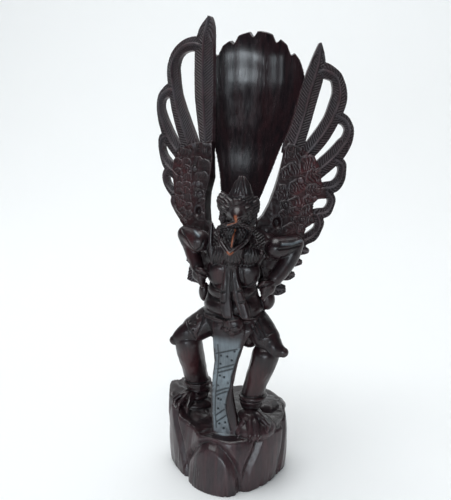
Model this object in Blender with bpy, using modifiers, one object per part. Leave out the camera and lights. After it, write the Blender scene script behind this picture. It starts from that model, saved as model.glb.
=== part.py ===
"""Carved wooden garuda: a squatting winged figure with a fan tail on a petalled rocky base.

The whole work is one piece of wood, so its forms are built as overlapping closed bodies and
fused into one solid. Lengths are metres and +Z is up. The origin is on the underside, in the
middle of the base.
"""

import math

import bmesh
import bpy
from mathutils import Matrix, Vector

# Driving sizes, in metres
FIGURE_HEIGHT = 0.353        # top of the base at the front to the highest wing tip
BASE_HEIGHT = 0.047
BASE_RADIUS = 0.055
PETAL_GROOVE_DEPTH = 0.0045
PETAL_GROOVE_WIDTH = 0.0050
FIGURE_SHIFT = (0.010, 0.022)        # where the figure's own middle stands on the base
WING_THICKNESS = 0.0080
COVERT_THICKNESS = 0.0125
RACHIS_HEIGHT = 0.0008
TAIL_THICKNESS = 0.0085
TAIL_SCOOP = 0.0110
TAIL_FLUTE = 0.0004
CLOTH_THICKNESS = 0.0060
SASH_THICKNESS = 0.0050
SKIN_CELL = 0.0010
TRIANGLES = 9500

# The figure's pose and proportions are shares of its height: one unit is a millimetre at full size,
# and heights are counted from the underside, with the ground at GROUND.
UNIT = FIGURE_HEIGHT / 353
GROUND = 47

# Wing plane: where it is rooted, and how far it sweeps and leans back
WING_ROOT = (21.3, 5, 220.8)
WING_SWEEP = math.radians(22)
WING_LEAN = math.radians(12)
FEATHER_ROOT = 9             # how far a feather runs on under the coverts

# Feathers viewed from the front: (out, up, width) along each one's middle, in units
RIGHT_FEATHERS = (
    ((29, 70, 18), (37.4, 92, 16.3), (44.9, 116, 17), (48.9, 127, 16.4), (53.1, 140, 14), (55, 150, 9),
     (56, 159, 2)),
    ((41, 63, 13.7), (53, 76, 15), (63.5, 91, 14.2), (70.8, 107, 15.1), (72.4, 116.4, 13), (71, 125, 11.6),
     (68, 130.3, 11.5), (59, 135, 14), (54, 134, 11)),
    ((52, 48.6, 14.6), (66.5, 60.4, 15), (74, 69, 13.5), (78.2, 75, 10.6), (80, 83.2, 8.4), (77.2, 89.8, 9),
     (73.4, 92.6, 10), (69, 95, 9)),
    ((56, 31.6, 11.5), (64.4, 33.1, 11), (70, 38.7, 9.3), (72.6, 47, 7.4), (71.8, 52.8, 8.5), (66, 57, 8)),
    ((49, 9.4, 9.7), (56.6, 10.6, 9), (61, 16.6, 7), (61.8, 22.6, 7.3), (57, 29, 8)),
    ((36.4, -13.6, 9.6), (43.4, -10, 10.3), (48.6, -3.9, 7.8), (50.2, 1.5, 8.5), (48, 8, 8)),
    ((25.7, -20.6, 11.8), (34.3, -22.4, 9), (39.6, -23.5, 3.8)),
    ((18.6, -31, 12), (28.1, -32.5, 8.8), (33.5, -33.2, 4.3)),
    ((11, -42.1, 12), (19.6, -43.7, 9.7), (26, -43.5, 4.4)),
    ((2, -52.7, 12), (10.6, -55.8, 12), (17.5, -56, 6)),
)
RIGHT_COVERTS = ((21.6, 75), (18, 58.4), (14.2, 43.7), (10.7, 32.4), (6, 21.2), (-0.8, 10), (-6.3, 5),
                 (-7, -10.7), (-6, -30), (-2, -48), (8, -50), (21, -36.8), (28.8, -25.7), (34.6, -12.6),
                 (37, -3), (45, 1.5), (44, 9), (44, 18), (48, 22), (57, 22.5), (56, 31), (52.5, 38),
                 (52, 48.6), (47, 59.3), (38, 65.7))

LEFT_FEATHERS = (
    ((20, 71, 13.5), (25.7, 100, 18.3), (28.9, 117.3, 20.2), (33.7, 152.4, 19.9), (34, 165, 17.4),
     (33, 173, 13), (32.3, 179, 6.5), (32.2, 182, 2)),
    ((38.7, 68.7, 17), (49.3, 87.3, 16), (59.9, 109.6, 13), (65.8, 130.5, 12.5), (65.9, 140.5, 11.6),
     (63.2, 147.8, 11.1), (58, 153.1, 11.2), (51, 156.3, 12.2), (43.5, 157.3, 13),
     (38, 156, 12)),
    ((51, 60.8, 11.7), (59.7, 69.1, 12.6), (67.3, 80, 11), (72.3, 89, 9.3), (76, 99, 7.5), (75.2, 108.2, 8.5),
     (67.7, 114.6, 12), (62, 115, 11)),
    ((52.5, 41.9, 11.9), (60.8, 47.7, 10.3), (66.4, 55, 7), (69.7, 63.2, 6), (68.5, 70.2, 9.5), (63, 73, 8)),
    ((48.6, 22.1, 10), (56.6, 27.4, 7), (61, 34.1, 6), (60.4, 38.8, 8), (57, 44, 7)),
    ((38, 3.3, 8.8), (46, 9.2, 5), (49.5, 14, 4.6), (49, 19, 5)),
    ((12, -26, 13), (20, -33, 11), (25.5, -37, 5)),
    ((12, -32, 14), (15.5, -44, 15), (16.8, -55, 14.4)),
)
LEFT_COVERTS = ((13, 72.4), (10, 58.5), (10.6, 40.6), (13, 27.8), (12.3, 14.4), (9.6, 2), (2, -8), (-6, -20),
                (-2, -44), (12, -46), (20, -30), (26, -12), (37.8, -2.6), (43, 9.6), (46.8, 21), (50.6, 32.5),
                (52.7, 43.3), (51.4, 54.4), (46.8, 62), (37.3, 66.6), (27.7, 69.3))

# Covert scales: rows and places in a row, in units
SCALE_ROW = 8.5
SCALE_STEP = 9.0
SCALE_TOP = 68
COVERT_MIDDLE = 26
COVERT_THICK_TO = 40

# Tail: height, then its middle, half width and depth there
TAIL_STATIONS = ((196, -4, 12, 6), (222, -4.8, 15, 15), (235, -4.2, 17, 20), (250, -2.2, 20.4, 25),
                 (266, -0.4, 24.6, 29), (284, 0.8, 29.8, 32), (304, 2.9, 35.9, 36.5), (326, 3.5, 41.2, 40),
                 (339, 4.4, 44.6, 41.3), (350, 4.6, 45.8, 42), (368, 4.6, 45.8, 43.2), (386, 4.6, 45.8, 47))
TAIL_LOBES = (-1.0, -0.75, -0.455, -0.08, 0.39, 0.70, 1.0)
TAIL_TOP = 386
TAIL_DROP = (29, 30)         # how far the top falls to its left and right corners
TAIL_NOTCH = 5.5

# Side of the base: angle in degrees from +X, radius shares at the bottom and rim, height of the rim in units
BASE_SIDE = ((-180, 0.92, 0.93, 66), (-165, 0.84, 0.86, 59), (-150, 0.79, 0.78, 52), (-137, 0.79, 0.68, 48),
             (-124, 0.80, 0.67, 47), (-108, 0.91, 0.80, 46), (-93, 1.01, 0.86, 46), (-75, 1.11, 0.95, 46),
             (-62, 1.07, 0.97, 46), (-41, 1.02, 1.00, 46), (-14, 0.99, 1.10, 48), (3, 1.06, 1.08, 53),
             (20, 1.08, 1.03, 59), (55, 1.06, 1.01, 59), (85, 0.95, 0.93, 56), (112, 1.00, 0.98, 58),
             (143, 1.08, 1.08, 67), (162, 1.00, 1.04, 70), (180, 0.92, 0.93, 66))
# Grooves on that side, as lines of (angle, share of the height)
BASE_GROOVES = (
    ((-158.5, 1.0), (-152.5, 0.83), (-145, 0.63), (-135, 0.31), (-126.5, 0.05)),
    ((-126.5, 0.05), (-129.5, 0.23), (-127, 0.43), (-115.5, 0.67), (-103.5, 0.86), (-93.5, 0.94), (-84.5, 0.93),
     (-75, 0.81), (-68, 0.59), (-63, 0.34), (-62, 0.0)),
    ((-42, 1.0), (-46.5, 0.79), (-53, 0.58), (-57, 0.4), (-61.5, 0.1)),
    ((-8, 1.0), (-10, 0.55), (-12, 0.15)),
    ((20, 1.0), (30, 0.6), (42, 0.1)), ((66, 1.0), (56, 0.55), (43, 0.1)),
    ((88, 1.0), (96, 0.55), (106, 0.05)), ((126, 1.0), (118, 0.55), (107, 0.05)),
    ((150, 1.0), (158, 0.6), (168, 0.1)), ((188, 1.0), (180, 0.6), (169, 0.1)),
)
# The front petal, which bulges inside its groove: middle angle, half its width, and where it starts and
# ends as shares of the height
FRONT_PETAL = (-95, 30, 0.0, 0.88)
PETAL_BULGE = 0.0022

# Sash ends on the chest: y, z, left and right edge, in units
SASH_LEFT = ((-39.5, 197, -4.5, 2), (-40.5, 186, -6, 2), (-42.5, 172, -8, 2), (-44.5, 160, -7, 3.5),
             (-46, 152, -4, 5))
SASH_RIGHT = ((-39.5, 196, 2, 6), (-40.5, 186, 2, 8), (-42.5, 172, 3.5, 12.5), (-44.5, 160, 8, 17),
              (-46, 152, 12, 19))


def at(x, y, z):
    """A place on the figure, from units to metres."""
    shift_x, shift_y = FIGURE_SHIFT
    return Vector((x * UNIT + shift_x, y * UNIT + shift_y, BASE_HEIGHT + (z - GROUND) * UNIT))


def smooth(points, steps):
    """Points on a smooth curve through the given tuples, by Catmull-Rom."""
    ends = [points[0], *points, points[-1]]
    out = []
    for a, b, c, d in zip(ends, ends[1:], ends[2:], ends[3:]):
        for k in range(steps):
            t = k / steps
            out.append(tuple(
                q + 0.5 * t * ((r - p) + t * ((2 * p - 5 * q + 4 * r - s) + t * (3 * q - p - 3 * r + s)))
                for p, q, r, s in zip(a, b, c, d)
            ))
    out.append(tuple(points[-1]))
    return out


def interpolate(stations, x):
    """The values beside x in a table of stations, read straight between them."""
    for low, high in zip(stations, stations[1:]):
        if x <= high[0]:
            t = max(0.0, (x - low[0]) / (high[0] - low[0]))
            return [p + (q - p) * t for p, q in zip(low[1:], high[1:])]
    return list(stations[-1][1:])


def loft(bm, rings):
    """A closed body through rings of points, flat at both ends."""
    rows = [[bm.verts.new(p) for p in ring] for ring in rings]
    count = len(rows[0])
    for low, high in zip(rows, rows[1:]):
        for i in range(count):
            j = (i + 1) % count
            bm.faces.new((low[i], low[j], high[j], high[i]))
    bm.faces.new(reversed(rows[0]))
    bm.faces.new(rows[-1])


def add_ball(bm, place):
    """A unit sphere put in place by a matrix. It is made apart, as primitives are slow in a large mesh."""
    sphere = bmesh.new()
    bmesh.ops.create_uvsphere(sphere, u_segments=20, v_segments=12, radius=1, matrix=place)
    mesh = bpy.data.meshes.new("ball")
    sphere.to_mesh(mesh)
    sphere.free()
    bm.from_mesh(mesh)
    bpy.data.meshes.remove(mesh)


def ball(bm, centre, radii, turn=0.0):
    """An ellipsoid with its own radii in units, turned about Z."""
    place = Matrix.Translation(at(*centre)) @ Matrix.Rotation(math.radians(turn), 4, "Z")
    add_ball(bm, place @ Matrix.Diagonal((*(r * UNIT for r in radii), 1)))


def add_evaluated(bm, piece):
    """Adds an object's evaluated mesh and removes the object."""
    bpy.context.view_layer.update()
    mesh = bpy.data.meshes.new_from_object(piece.evaluated_get(bpy.context.evaluated_depsgraph_get()))
    part = bmesh.new()
    part.from_mesh(mesh)
    bmesh.ops.remove_doubles(part, verts=part.verts, dist=1e-6)
    part.to_mesh(mesh)
    part.free()
    bm.from_mesh(mesh)
    bpy.data.objects.remove(piece)
    bpy.data.meshes.remove(mesh)


def limb(bm, *stations):
    """A round limb through (x, y, z, radius) stations, with round ends."""
    curve = bpy.data.curves.new("limb", "CURVE")
    curve.dimensions = "3D"
    curve.bevel_depth = UNIT
    curve.bevel_resolution = 5
    curve.use_fill_caps = True
    points = smooth(stations, 6)
    spline = curve.splines.new("POLY")
    spline.points.add(len(points) - 1)
    for point, (x, y, z, radius) in zip(spline.points, points):
        point.co = (*at(x, y, z), 1)
        point.radius = radius
    piece = bpy.data.objects.new("limb", curve)
    bpy.context.scene.collection.objects.link(piece)
    add_evaluated(bm, piece)
    bpy.data.curves.remove(curve)
    for x, y, z, radius in (stations[0], stations[-1]):
        ball(bm, (x, y, z), (radius, radius, radius))


def ellipse(x, y, z, half_width, half_depth, count=32):
    turns = (2 * math.pi * i / count for i in range(count))
    return [at(x + half_width * math.cos(a), y + half_depth * math.sin(a), z) for a in turns]


def on_wing(side, u, v, lift):
    """A place on a wing: u out and v up in units, lift in metres toward the front. Side is 1 on the right."""
    back = Vector((-side * math.sin(WING_SWEEP), math.cos(WING_SWEEP), 0))
    out = Vector((side * math.cos(WING_SWEEP), math.sin(WING_SWEEP), 0))
    up = Vector((0, 0, math.cos(WING_LEAN))) + back * math.sin(WING_LEAN)
    front = out.cross(up) * side
    x, y, z = WING_ROOT
    return at(side * x, y, z) + (out * u + up * v) * UNIT + front * lift


def feather(bm, side, spine):
    """A blade along a smooth line on the wing, thickest at its raised rachis."""
    (u0, v0, width0), (u1, v1, _) = spine[:2]
    back = Vector((u0 - u1, v0 - v1)).normalized() * FEATHER_ROOT
    points = smooth(((u0 + back.x, v0 + back.y, width0 * 0.9), *spine), 4)
    rings = []
    for i, (u, v, width) in enumerate(points):
        before, after = points[max(i - 1, 0)], points[min(i + 1, len(points) - 1)]
        run = Vector((after[0] - before[0], after[1] - before[1])).normalized()
        half = width / 2
        rib = min(1.4, 0.3 * half)
        front = WING_THICKNESS / 2
        section = (
            (-half, -0.8 * front), (-half, 0.62 * front), (-rib, 0.8 * front), (0, front + RACHIS_HEIGHT),
            (rib, 0.8 * front), (half, 0.62 * front), (half, -0.8 * front), (0, -front),
        )
        rings.append([on_wing(side, u + run.y * s, v - run.x * s, lift) for s, lift in section])
    loft(bm, rings)


def inside(outline, u, v):
    """Whether a point is within an outline, by counting the edges to its right."""
    hits = 0
    for (u0, v0), (u1, v1) in zip(outline, outline[1:] + outline[:1]):
        if (v0 > v) != (v1 > v) and u < u0 + (v - v0) * (u1 - u0) / (v1 - v0):
            hits += 1
    return hits % 2 == 1


def coverts(bm, side, outline):
    """The thick part of a wing: a slab with rows of overlapping scales on its front."""
    half = COVERT_THICKNESS / 2
    rings = []
    for lift, pull in ((-half, 0.36), (-half * 0.4, 0.12), (half * 0.2, 0.0), (half * 0.55, 0.03)):
        # The back is narrower than the front, but only in the upper part
        pulls = [(u, v, pull * min(1.0, max(0.0, (v - COVERT_THICK_TO) / 30))) for u, v in outline]
        rings.append([on_wing(side, u + pulled * (COVERT_MIDDLE - u), v, lift) for u, v, pulled in pulls])
    loft(bm, rings)
    turn = Matrix.Rotation(side * WING_SWEEP, 4, "Z")
    tilt = Matrix.Rotation(math.radians(14) - WING_LEAN, 4, "X")
    size = Matrix.Diagonal((5.2 * UNIT, half * 0.55, 6.6 * UNIT, 1))
    for row in range(15):
        v = SCALE_TOP - SCALE_ROW * row
        for column in range(-2, 8):
            u = SCALE_STEP * (column + 0.5 * (row % 2)) - 6
            if all(inside(outline, u + du, v + dv) for du, dv in ((-3, 0), (3, 0), (0, -5))):
                add_ball(bm, Matrix.Translation(on_wing(side, u, v, half * 0.5)) @ turn @ tilt @ size)


def tail_top(s):
    """Height of the tail's scalloped edge, in units, at a share of its half width."""
    drop = TAIL_DROP[0 if s < 0 else 1] * s * s + 9 * max(0.0, (abs(s) - 0.85) / 0.15) ** 2
    gap = min(abs(s - lobe) for lobe in TAIL_LOBES[1:-1])
    return TAIL_TOP - drop - TAIL_NOTCH * max(0.0, 1 - gap / 0.08) ** 0.8


def tail(bm):
    """The upright fan: a scooped front with a flute down each feather, and a narrower round back."""
    columns, rows = 96, 40
    low = TAIL_STATIONS[0][0]
    fronts, backs = [], []
    for j in range(rows + 1):
        front, back = [], []
        for i in range(columns + 1):
            s = 2 * i / columns - 1
            z = low + (tail_top(s) - low) * j / rows
            middle, half, y = interpolate(TAIL_STATIONS, z)
            lobe = max(k for k in range(len(TAIL_LOBES) - 1) if s >= TAIL_LOBES[k] - 1e-9)
            q = 2 * (s - TAIL_LOBES[lobe]) / (TAIL_LOBES[lobe + 1] - TAIL_LOBES[lobe]) - 1
            depth = (half / 45) * (TAIL_SCOOP * (1 - s * s) + TAIL_FLUTE * (1 - q * q))
            thick = TAIL_THICKNESS * (1 - 0.35 * s ** 4)
            front.append(bm.verts.new(at(middle + half * s, y, z) + Vector((0, depth, 0))))
            back.append(bm.verts.new(at(middle + (half - 3) * s, y, z) + Vector((0, depth + thick, 0))))
        fronts.append(front)
        backs.append(back)
    strips = list(zip(fronts, fronts[1:])) + list(zip(backs[1:], backs))
    strips += [(backs[0], fronts[0]), (fronts[-1], backs[-1])]
    for below, above in strips:
        for i in range(columns):
            bm.faces.new((below[i], below[i + 1], above[i + 1], above[i]))
    for k, turned in ((0, False), (columns, True)):
        for j in range(rows):
            side = (fronts[j][k], fronts[j + 1][k], backs[j + 1][k], backs[j][k])
            bm.faces.new(side[::-1] if turned else side)


def torso(bm):
    sections = (
        (1, -28, 124, 10, 10), (0, -25, 132, 20, 15), (0, -24, 143, 26, 18), (0, -23, 155, 26, 18),
        (-1, -22, 166, 23, 16), (-1, -21, 178, 20, 15), (0, -21, 190, 21, 15), (2, -20, 201, 26, 15),
        (3, -19, 211, 30, 13), (3, -17, 219, 24, 12), (3, -16, 226, 14, 10),
    )
    loft(bm, [ellipse(*section) for section in sections])
    # Chest, and the two rolls of the belly
    ball(bm, (-10.5, -27.5, 187), (12.5, 8.8, 13.5))
    ball(bm, (12, -28.5, 188), (12.5, 8.8, 13.5))
    ball(bm, (-1, -23, 170), (22, 17.5, 12.5))
    ball(bm, (-1, -23.5, 157), (25, 20, 12.5))
    ball(bm, (-1, -28, 145), (20, 17, 9))
    # Back, which carries the wings and the tail
    limb(bm, (0, -10, 142, 17), (0, -4, 165, 15), (0, 0, 190, 16), (-1, 5, 208, 13), (-4, 12, 222, 9))
    limb(bm, (-22, -2, 205, 12), (0, 0, 210, 13), (24, -2, 205, 12))
    ball(bm, (22, 2, 188), (12, 8, 19))
    ball(bm, (-21, 2, 186), (11, 8, 19))
    ball(bm, (-22.5, 8, 229), (5, 6, 13))


def head(bm):
    ball(bm, (5, -28, 238), (16.5, 16, 18))
    ball(bm, (3, -26, 248), (16.5, 12, 8.5))
    loft(bm, [ellipse(*section) for section in (
        (7, -28, 246, 12.5, 9), (7, -28, 256, 10.5, 8), (7.6, -28, 263, 8, 6.5), (8, -28, 269, 5, 4.5),
        (8, -28, 272.5, 2.2, 2.2))])
    for x, y, z, wide in ((-9, -24, 248, 6), (18, -24, 246, 5)):
        ball(bm, (x, y, z), (wide, 8, 9))
    # Brows
    ball(bm, (-2, -42, 247), (7, 5, 3.5), -15)
    ball(bm, (14, -42, 247), (6.5, 5, 3.5), 15)
    # Upper beak with its two lips, then the lower jaw with its rims, the throat and the tongue
    limb(bm, (6, -34, 241, 13), (7.5, -44, 243, 10), (9, -53, 244, 6.5), (10.2, -60, 241, 2.6))
    limb(bm, (-8.5, -41, 229.5, 2.6), (-1, -50, 234.5, 2.2), (9.5, -60, 239.8, 1.8))
    limb(bm, (19, -41, 230, 2.4), (15.5, -50, 234.5, 2.1), (10.5, -60, 239.8, 1.8))
    limb(bm, (4, -38, 222, 11), (4, -47, 217, 6.5), (4, -56, 213, 2.6))
    limb(bm, (-8.5, -42, 228, 2.5), (-6.5, -48, 221.5, 2.2), (-1.5, -54, 216.5, 2), (4, -60, 213, 1.8))
    limb(bm, (18, -42, 229, 2.5), (15.5, -47.5, 222, 2.2), (9.5, -54, 216.8, 2), (4, -60, 213, 1.8))
    ball(bm, (4.5, -39, 227), (13, 10.5, 11))
    limb(bm, (8, -46, 231.5, 1.8), (6, -53, 225, 1.7), (4.6, -55, 217, 1.5))
    # Beard and the curls beside it
    limb(bm, (4, -41, 212, 9), (3, -38, 204, 9), (2, -37, 198, 6))
    ball(bm, (-8, -31, 204), (10.5, 7.5, 10))
    ball(bm, (14, -31, 205), (10.5, 7.5, 10))


def arm(bm, shoulder, elbow, forearm, wrist, hand):
    """Each joint is (x, y, z, radius), and the hand closes on the hip."""
    ball(bm, shoulder[:3], (shoulder[3],) * 3)
    limb(bm, shoulder, elbow)
    limb(bm, elbow, forearm, wrist)
    x, y, z = hand
    ball(bm, hand, (6.5, 6, 6.5))
    away = math.copysign(1, x)
    for k in range(4):
        limb(bm, (x + away * (3.5 - 0.6 * k), y - 1, z + 4 - 2.2 * k, 2.4),
             (x - away * (1 + 0.6 * k), y - 5.5, z + 1.5 - 2.8 * k, 2.1),
             (x - away * (6 - 0.9 * k), y - 3.5, z - 1.5 - 2.8 * k, 1.5))
    limb(bm, (x + away * 2, y - 2, z + 5, 2.4), (x - away * 3, y - 6, z + 5.5, 1.9),
         (x - away * 6.5, y - 5, z + 3, 1.4))


def leg(bm, trousers, thigh, shin):
    for stations in (trousers, thigh, shin):
        limb(bm, *stations)
    x, y, z, radius = shin[-1]
    ball(bm, (x, y, z + 1), (radius + 1, radius + 1, 3.5))


def foot(bm, heel, toes):
    """Bird foot: a low instep with claws spread before it."""
    x, y, z = heel
    ball(bm, heel, (11, 12, 6))
    for tip_x, tip_y, tip_z in toes:
        limb(bm, (x, y, z + 1, 4.2), ((x + tip_x) / 2, (y + tip_y) / 2, (z + tip_z) / 2 + 3.5, 3.4),
             (tip_x, tip_y, tip_z, 2.2))


def band(bm, rows, half, forward=0.0):
    """A thick strip of cloth through rows of (y, z, left, right), with half its thickness in metres."""
    rings = []
    for y, z, left, right in smooth(rows, 3):
        middle, reach = (left + right) / 2, (right - left) / 2
        rings.append([at(middle + reach * a, y + forward + 1.5 * abs(a), z) + Vector((0, b * half, 0))
                      for a, b in ((-1, -1), (-0.5, -1), (0.5, -1), (1, -1), (1, 1), (-1, 1))])
    loft(bm, rings)


def loincloth(bm):
    """The cloth that hangs from the belt to the base, with its side fold."""
    rows = ((-36, 154, -14, 13), (-43, 140, -14, 14), (-45, 126, -13.3, 12), (-45, 111, -12.3, 8.6),
            (-46.5, 100, -13.2, 6.4), (-49, 88, -13.8, 4), (-51, 76, -14, 1.5), (-52.5, 66, -13.2, 2),
            (-53.5, 56, -12.5, 4), (-55, 45, -11.9, 5))
    fold = ((-47, 95, 0, 4.5), (-49, 84, -1, 5), (-50, 76, -2, 6.3), (-51, 66, -1, 8.4), (-52, 56, 0, 10),
            (-53.5, 45, 1, 10))
    flare = ((-36, 150, 8, 24), (-42, 140, 8, 20), (-44, 128, 5, 14), (-44.5, 114, 2, 9.5))
    for rows, forward in ((rows, 0), (fold, -2), (flare, 0.5)):
        band(bm, rows, CLOTH_THICKNESS / 2, forward)


def petal_depth(angle, share):
    """How deep the carving lies at an angle in degrees and a share of the height."""
    around = math.radians(1) * BASE_RADIUS
    near = 1.0
    for line in BASE_GROOVES:
        for (a0, s0), (a1, s1) in zip(line, line[1:]):
            da, ds = (a1 - a0) * around, (s1 - s0) * BASE_HEIGHT
            for turn in (0, -360):
                ga, gs = (angle - a0 - turn) * around, (share - s0) * BASE_HEIGHT
                t = min(1.0, max(0.0, (ga * da + gs * ds) / (da * da + ds * ds)))
                near = min(near, math.hypot(ga - t * da, gs - t * ds))
    middle, half, low, high = FRONT_PETAL
    bulge = max(0.0, 1 - ((angle - middle) / half) ** 2 - max(0.0, (share - low) / (high - low)) ** 2)
    return PETAL_GROOVE_DEPTH * max(0.0, 1 - near / PETAL_GROOVE_WIDTH) - PETAL_BULGE * math.sqrt(bulge)


def base(bm):
    count, rows = 120, 18
    # The side is carried below the underside, where it is cut flat at the end
    shares = [-0.15] + [j / rows for j in range(rows + 1)]
    turns = [2 * math.pi * i / count - math.pi for i in range(count)]
    sides = [interpolate(BASE_SIDE, math.degrees(a)) for a in turns]
    rings = []
    for share in shares:
        ring = []
        for a, (low, high, rim) in zip(turns, sides):
            bulge = 1 - 0.03 * abs(2 * share - 1) ** 3
            radius = BASE_RADIUS * (low + (high - low) * share) * bulge - petal_depth(math.degrees(a), max(share, 0.0))
            height = BASE_HEIGHT + (rim - GROUND) * UNIT
            ring.append(Vector((radius * math.cos(a), radius * math.sin(a), height * share)))
        rings.append(ring)
    for inset, rise in ((0.93, 1.0), (0.75, 0.0), (0.4, 1.0)):
        ring = []
        for a, (low, high, rim) in zip(turns, sides):
            radius = BASE_RADIUS * high * inset
            height = BASE_HEIGHT + ((rim - GROUND) * inset + rise + 6 * (1 - inset)) * UNIT
            ring.append(Vector((radius * math.cos(a), radius * math.sin(a), height)))
        rings.append(ring)
    loft(bm, rings)
    # Rocks on the ground: under the left foot, the right foot, and behind
    ball(bm, (-38, -14, 57), (19, 18, 7), 20)
    ball(bm, (-42, 8, 56), (17, 15, 7), -10)
    ball(bm, (22, -42, 50), (20, 20, 10), -20)
    ball(bm, (28, -2, 53), (17, 18, 7), 15)
    ball(bm, (0, -12, 50), (26, 22, 6))


def belt(bm):
    ball(bm, (0, -25, 148), (27, 20, 4))
    ball(bm, (4, -44, 145), (9, 6, 9))
    # Ends of the waist cloth at the hips
    ball(bm, (-28.5, -13, 163), (5, 6, 9), 20)
    ball(bm, (29, -16, 160), (6.5, 7, 9), -20)
    # Two sash ends down the chest
    for rows in (SASH_LEFT, SASH_RIGHT):
        band(bm, rows, SASH_THICKNESS / 2)


def clean(bm):
    """Keeps the one outer shell and cuts its underside flat at z = 0."""
    bmesh.ops.triangulate(bm, faces=bm.faces)
    left = set(bm.verts)
    shells = []
    while left:
        stack = [left.pop()]
        shell = []
        while stack:
            vert = stack.pop()
            shell.append(vert)
            for edge in vert.link_edges:
                other = edge.other_vert(vert)
                if other in left:
                    left.remove(other)
                    stack.append(other)
        shells.append(shell)
    shells.sort(key=len)
    for shell in shells[:-1]:
        bmesh.ops.delete(bm, geom=shell, context="VERTS")
    cut = bmesh.ops.bisect_plane(bm, geom=bm.verts[:] + bm.edges[:] + bm.faces[:], plane_co=(0, 0, 0),
                                 plane_no=(0, 0, 1), clear_inner=True)
    edges = [e for e in cut["geom_cut"] if isinstance(e, bmesh.types.BMEdge)]
    bmesh.ops.contextual_create(bm, geom=edges)
    bmesh.ops.recalc_face_normals(bm, faces=bm.faces)


def wood():
    material = bpy.data.materials.new("stained wood")
    material.use_nodes = True
    shader = material.node_tree.nodes["Principled BSDF"]
    shader.inputs["Base Color"].default_value = (0.045, 0.022, 0.018, 1)
    shader.inputs["Roughness"].default_value = 0.38
    shader.inputs["Metallic"].default_value = 0.0
    return material


def garuda_forms():
    bm = bmesh.new()
    base(bm)
    torso(bm)
    head(bm)
    belt(bm)
    arm(bm, shoulder=(-31, -22, 212, 10), elbow=(-44.5, -13, 215, 7.8), forearm=(-38.5, -18, 203, 7),
        wrist=(-32, -25, 190, 6), hand=(-29, -29, 184))
    arm(bm, shoulder=(37, -24, 210, 9.5), elbow=(52, -15, 212, 7.5), forearm=(47, -19, 198, 7.5),
        wrist=(37, -27, 184, 6.5), hand=(32, -32, 177))
    leg(bm, ((-12, -18, 143, 14.5), (-23, -22, 138.5, 13.5), (-34, -27, 132.5, 12)),
        ((-34, -27, 132, 11), (-43, -31, 127.5, 9), (-51.5, -33, 122.5, 4.5)),
        ((-39.5, -29, 120, 12), (-38.8, -26, 110, 12.2), (-37, -20, 94, 11), (-34.5, -13, 70, 10.5)))
    leg(bm, ((13, -20, 146, 13.5), (22, -26, 140, 12.5), (31, -32, 131, 12)),
        ((31, -32, 130, 11), (39.5, -37, 124, 8.5), (47, -39, 121.5, 4.5)),
        ((31, -36, 116, 12), (28.5, -36.5, 107, 11.5), (23.2, -35.5, 92, 10.3), (18.3, -34, 72, 10.3)))
    limb(bm, (-14, -22, 133, 10), (15, -24, 128.5, 10.5))
    foot(bm, (-36, -17, 65), ((-54, -28, 62), (-48, -34, 61), (-39, -38, 60)))
    foot(bm, (19, -42, 62), ((12, -56, 52), (23, -62, 51), (30, -60, 51), (36, -50, 57)))
    loincloth(bm)
    tail(bm)
    for side, feathers, outline in ((1, RIGHT_FEATHERS, RIGHT_COVERTS), (-1, LEFT_FEATHERS, LEFT_COVERTS)):
        for spine in feathers:
            feather(bm, side, spine)
        coverts(bm, side, outline)
    bmesh.ops.recalc_face_normals(bm, faces=bm.faces)
    mesh = bpy.data.meshes.new("forms")
    bm.to_mesh(mesh)
    bm.free()
    return mesh


def evaluated(mesh, name, kind, **settings):
    """The mesh that one modifier makes of a mesh."""
    piece = bpy.data.objects.new(name, mesh)
    bpy.context.scene.collection.objects.link(piece)
    modifier = piece.modifiers.new(name, kind)
    for key, value in settings.items():
        setattr(modifier, key, value)
    bpy.context.view_layer.update()
    made = bpy.data.meshes.new_from_object(piece.evaluated_get(bpy.context.evaluated_depsgraph_get()))
    bpy.data.objects.remove(piece)
    bpy.data.meshes.remove(mesh)
    return made


def garuda_statue():
    """One closed skin over all the forms, thinned to few triangles."""
    skin = evaluated(garuda_forms(), "skin", "REMESH", mode="VOXEL", voxel_size=SKIN_CELL)
    share = TRIANGLES / (2 * len(skin.polygons))
    thin = evaluated(skin, "thin", "DECIMATE", ratio=share, use_collapse_triangulate=True)
    bm = bmesh.new()
    bm.from_mesh(thin)
    bpy.data.meshes.remove(thin)
    clean(bm)
    mesh = bpy.data.meshes.new("garuda_statue")
    bm.to_mesh(mesh)
    bm.free()
    mesh.materials.append(wood())
    piece = bpy.data.objects.new("garuda_statue", mesh)
    statue = bpy.data.collections.new("garuda statue")
    bpy.context.scene.collection.children.link(statue)
    statue.objects.link(piece)


def main():
    for piece in list(bpy.data.objects):
        bpy.data.objects.remove(piece)
    garuda_statue()


main()
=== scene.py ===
"""The carved garuda in its stained wood, on a pale studio floor, seen as in the photograph.

The forms are the ones of the CAD solid, made finer, with the low carving cut into them: feather
barbs, covert scales, the patterned cloth, the face, the bands, and gouge marks on the base.
"""

import math
from functools import partial

import bmesh
import bpy
import numpy as np
from mathutils import Matrix, Vector

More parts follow.
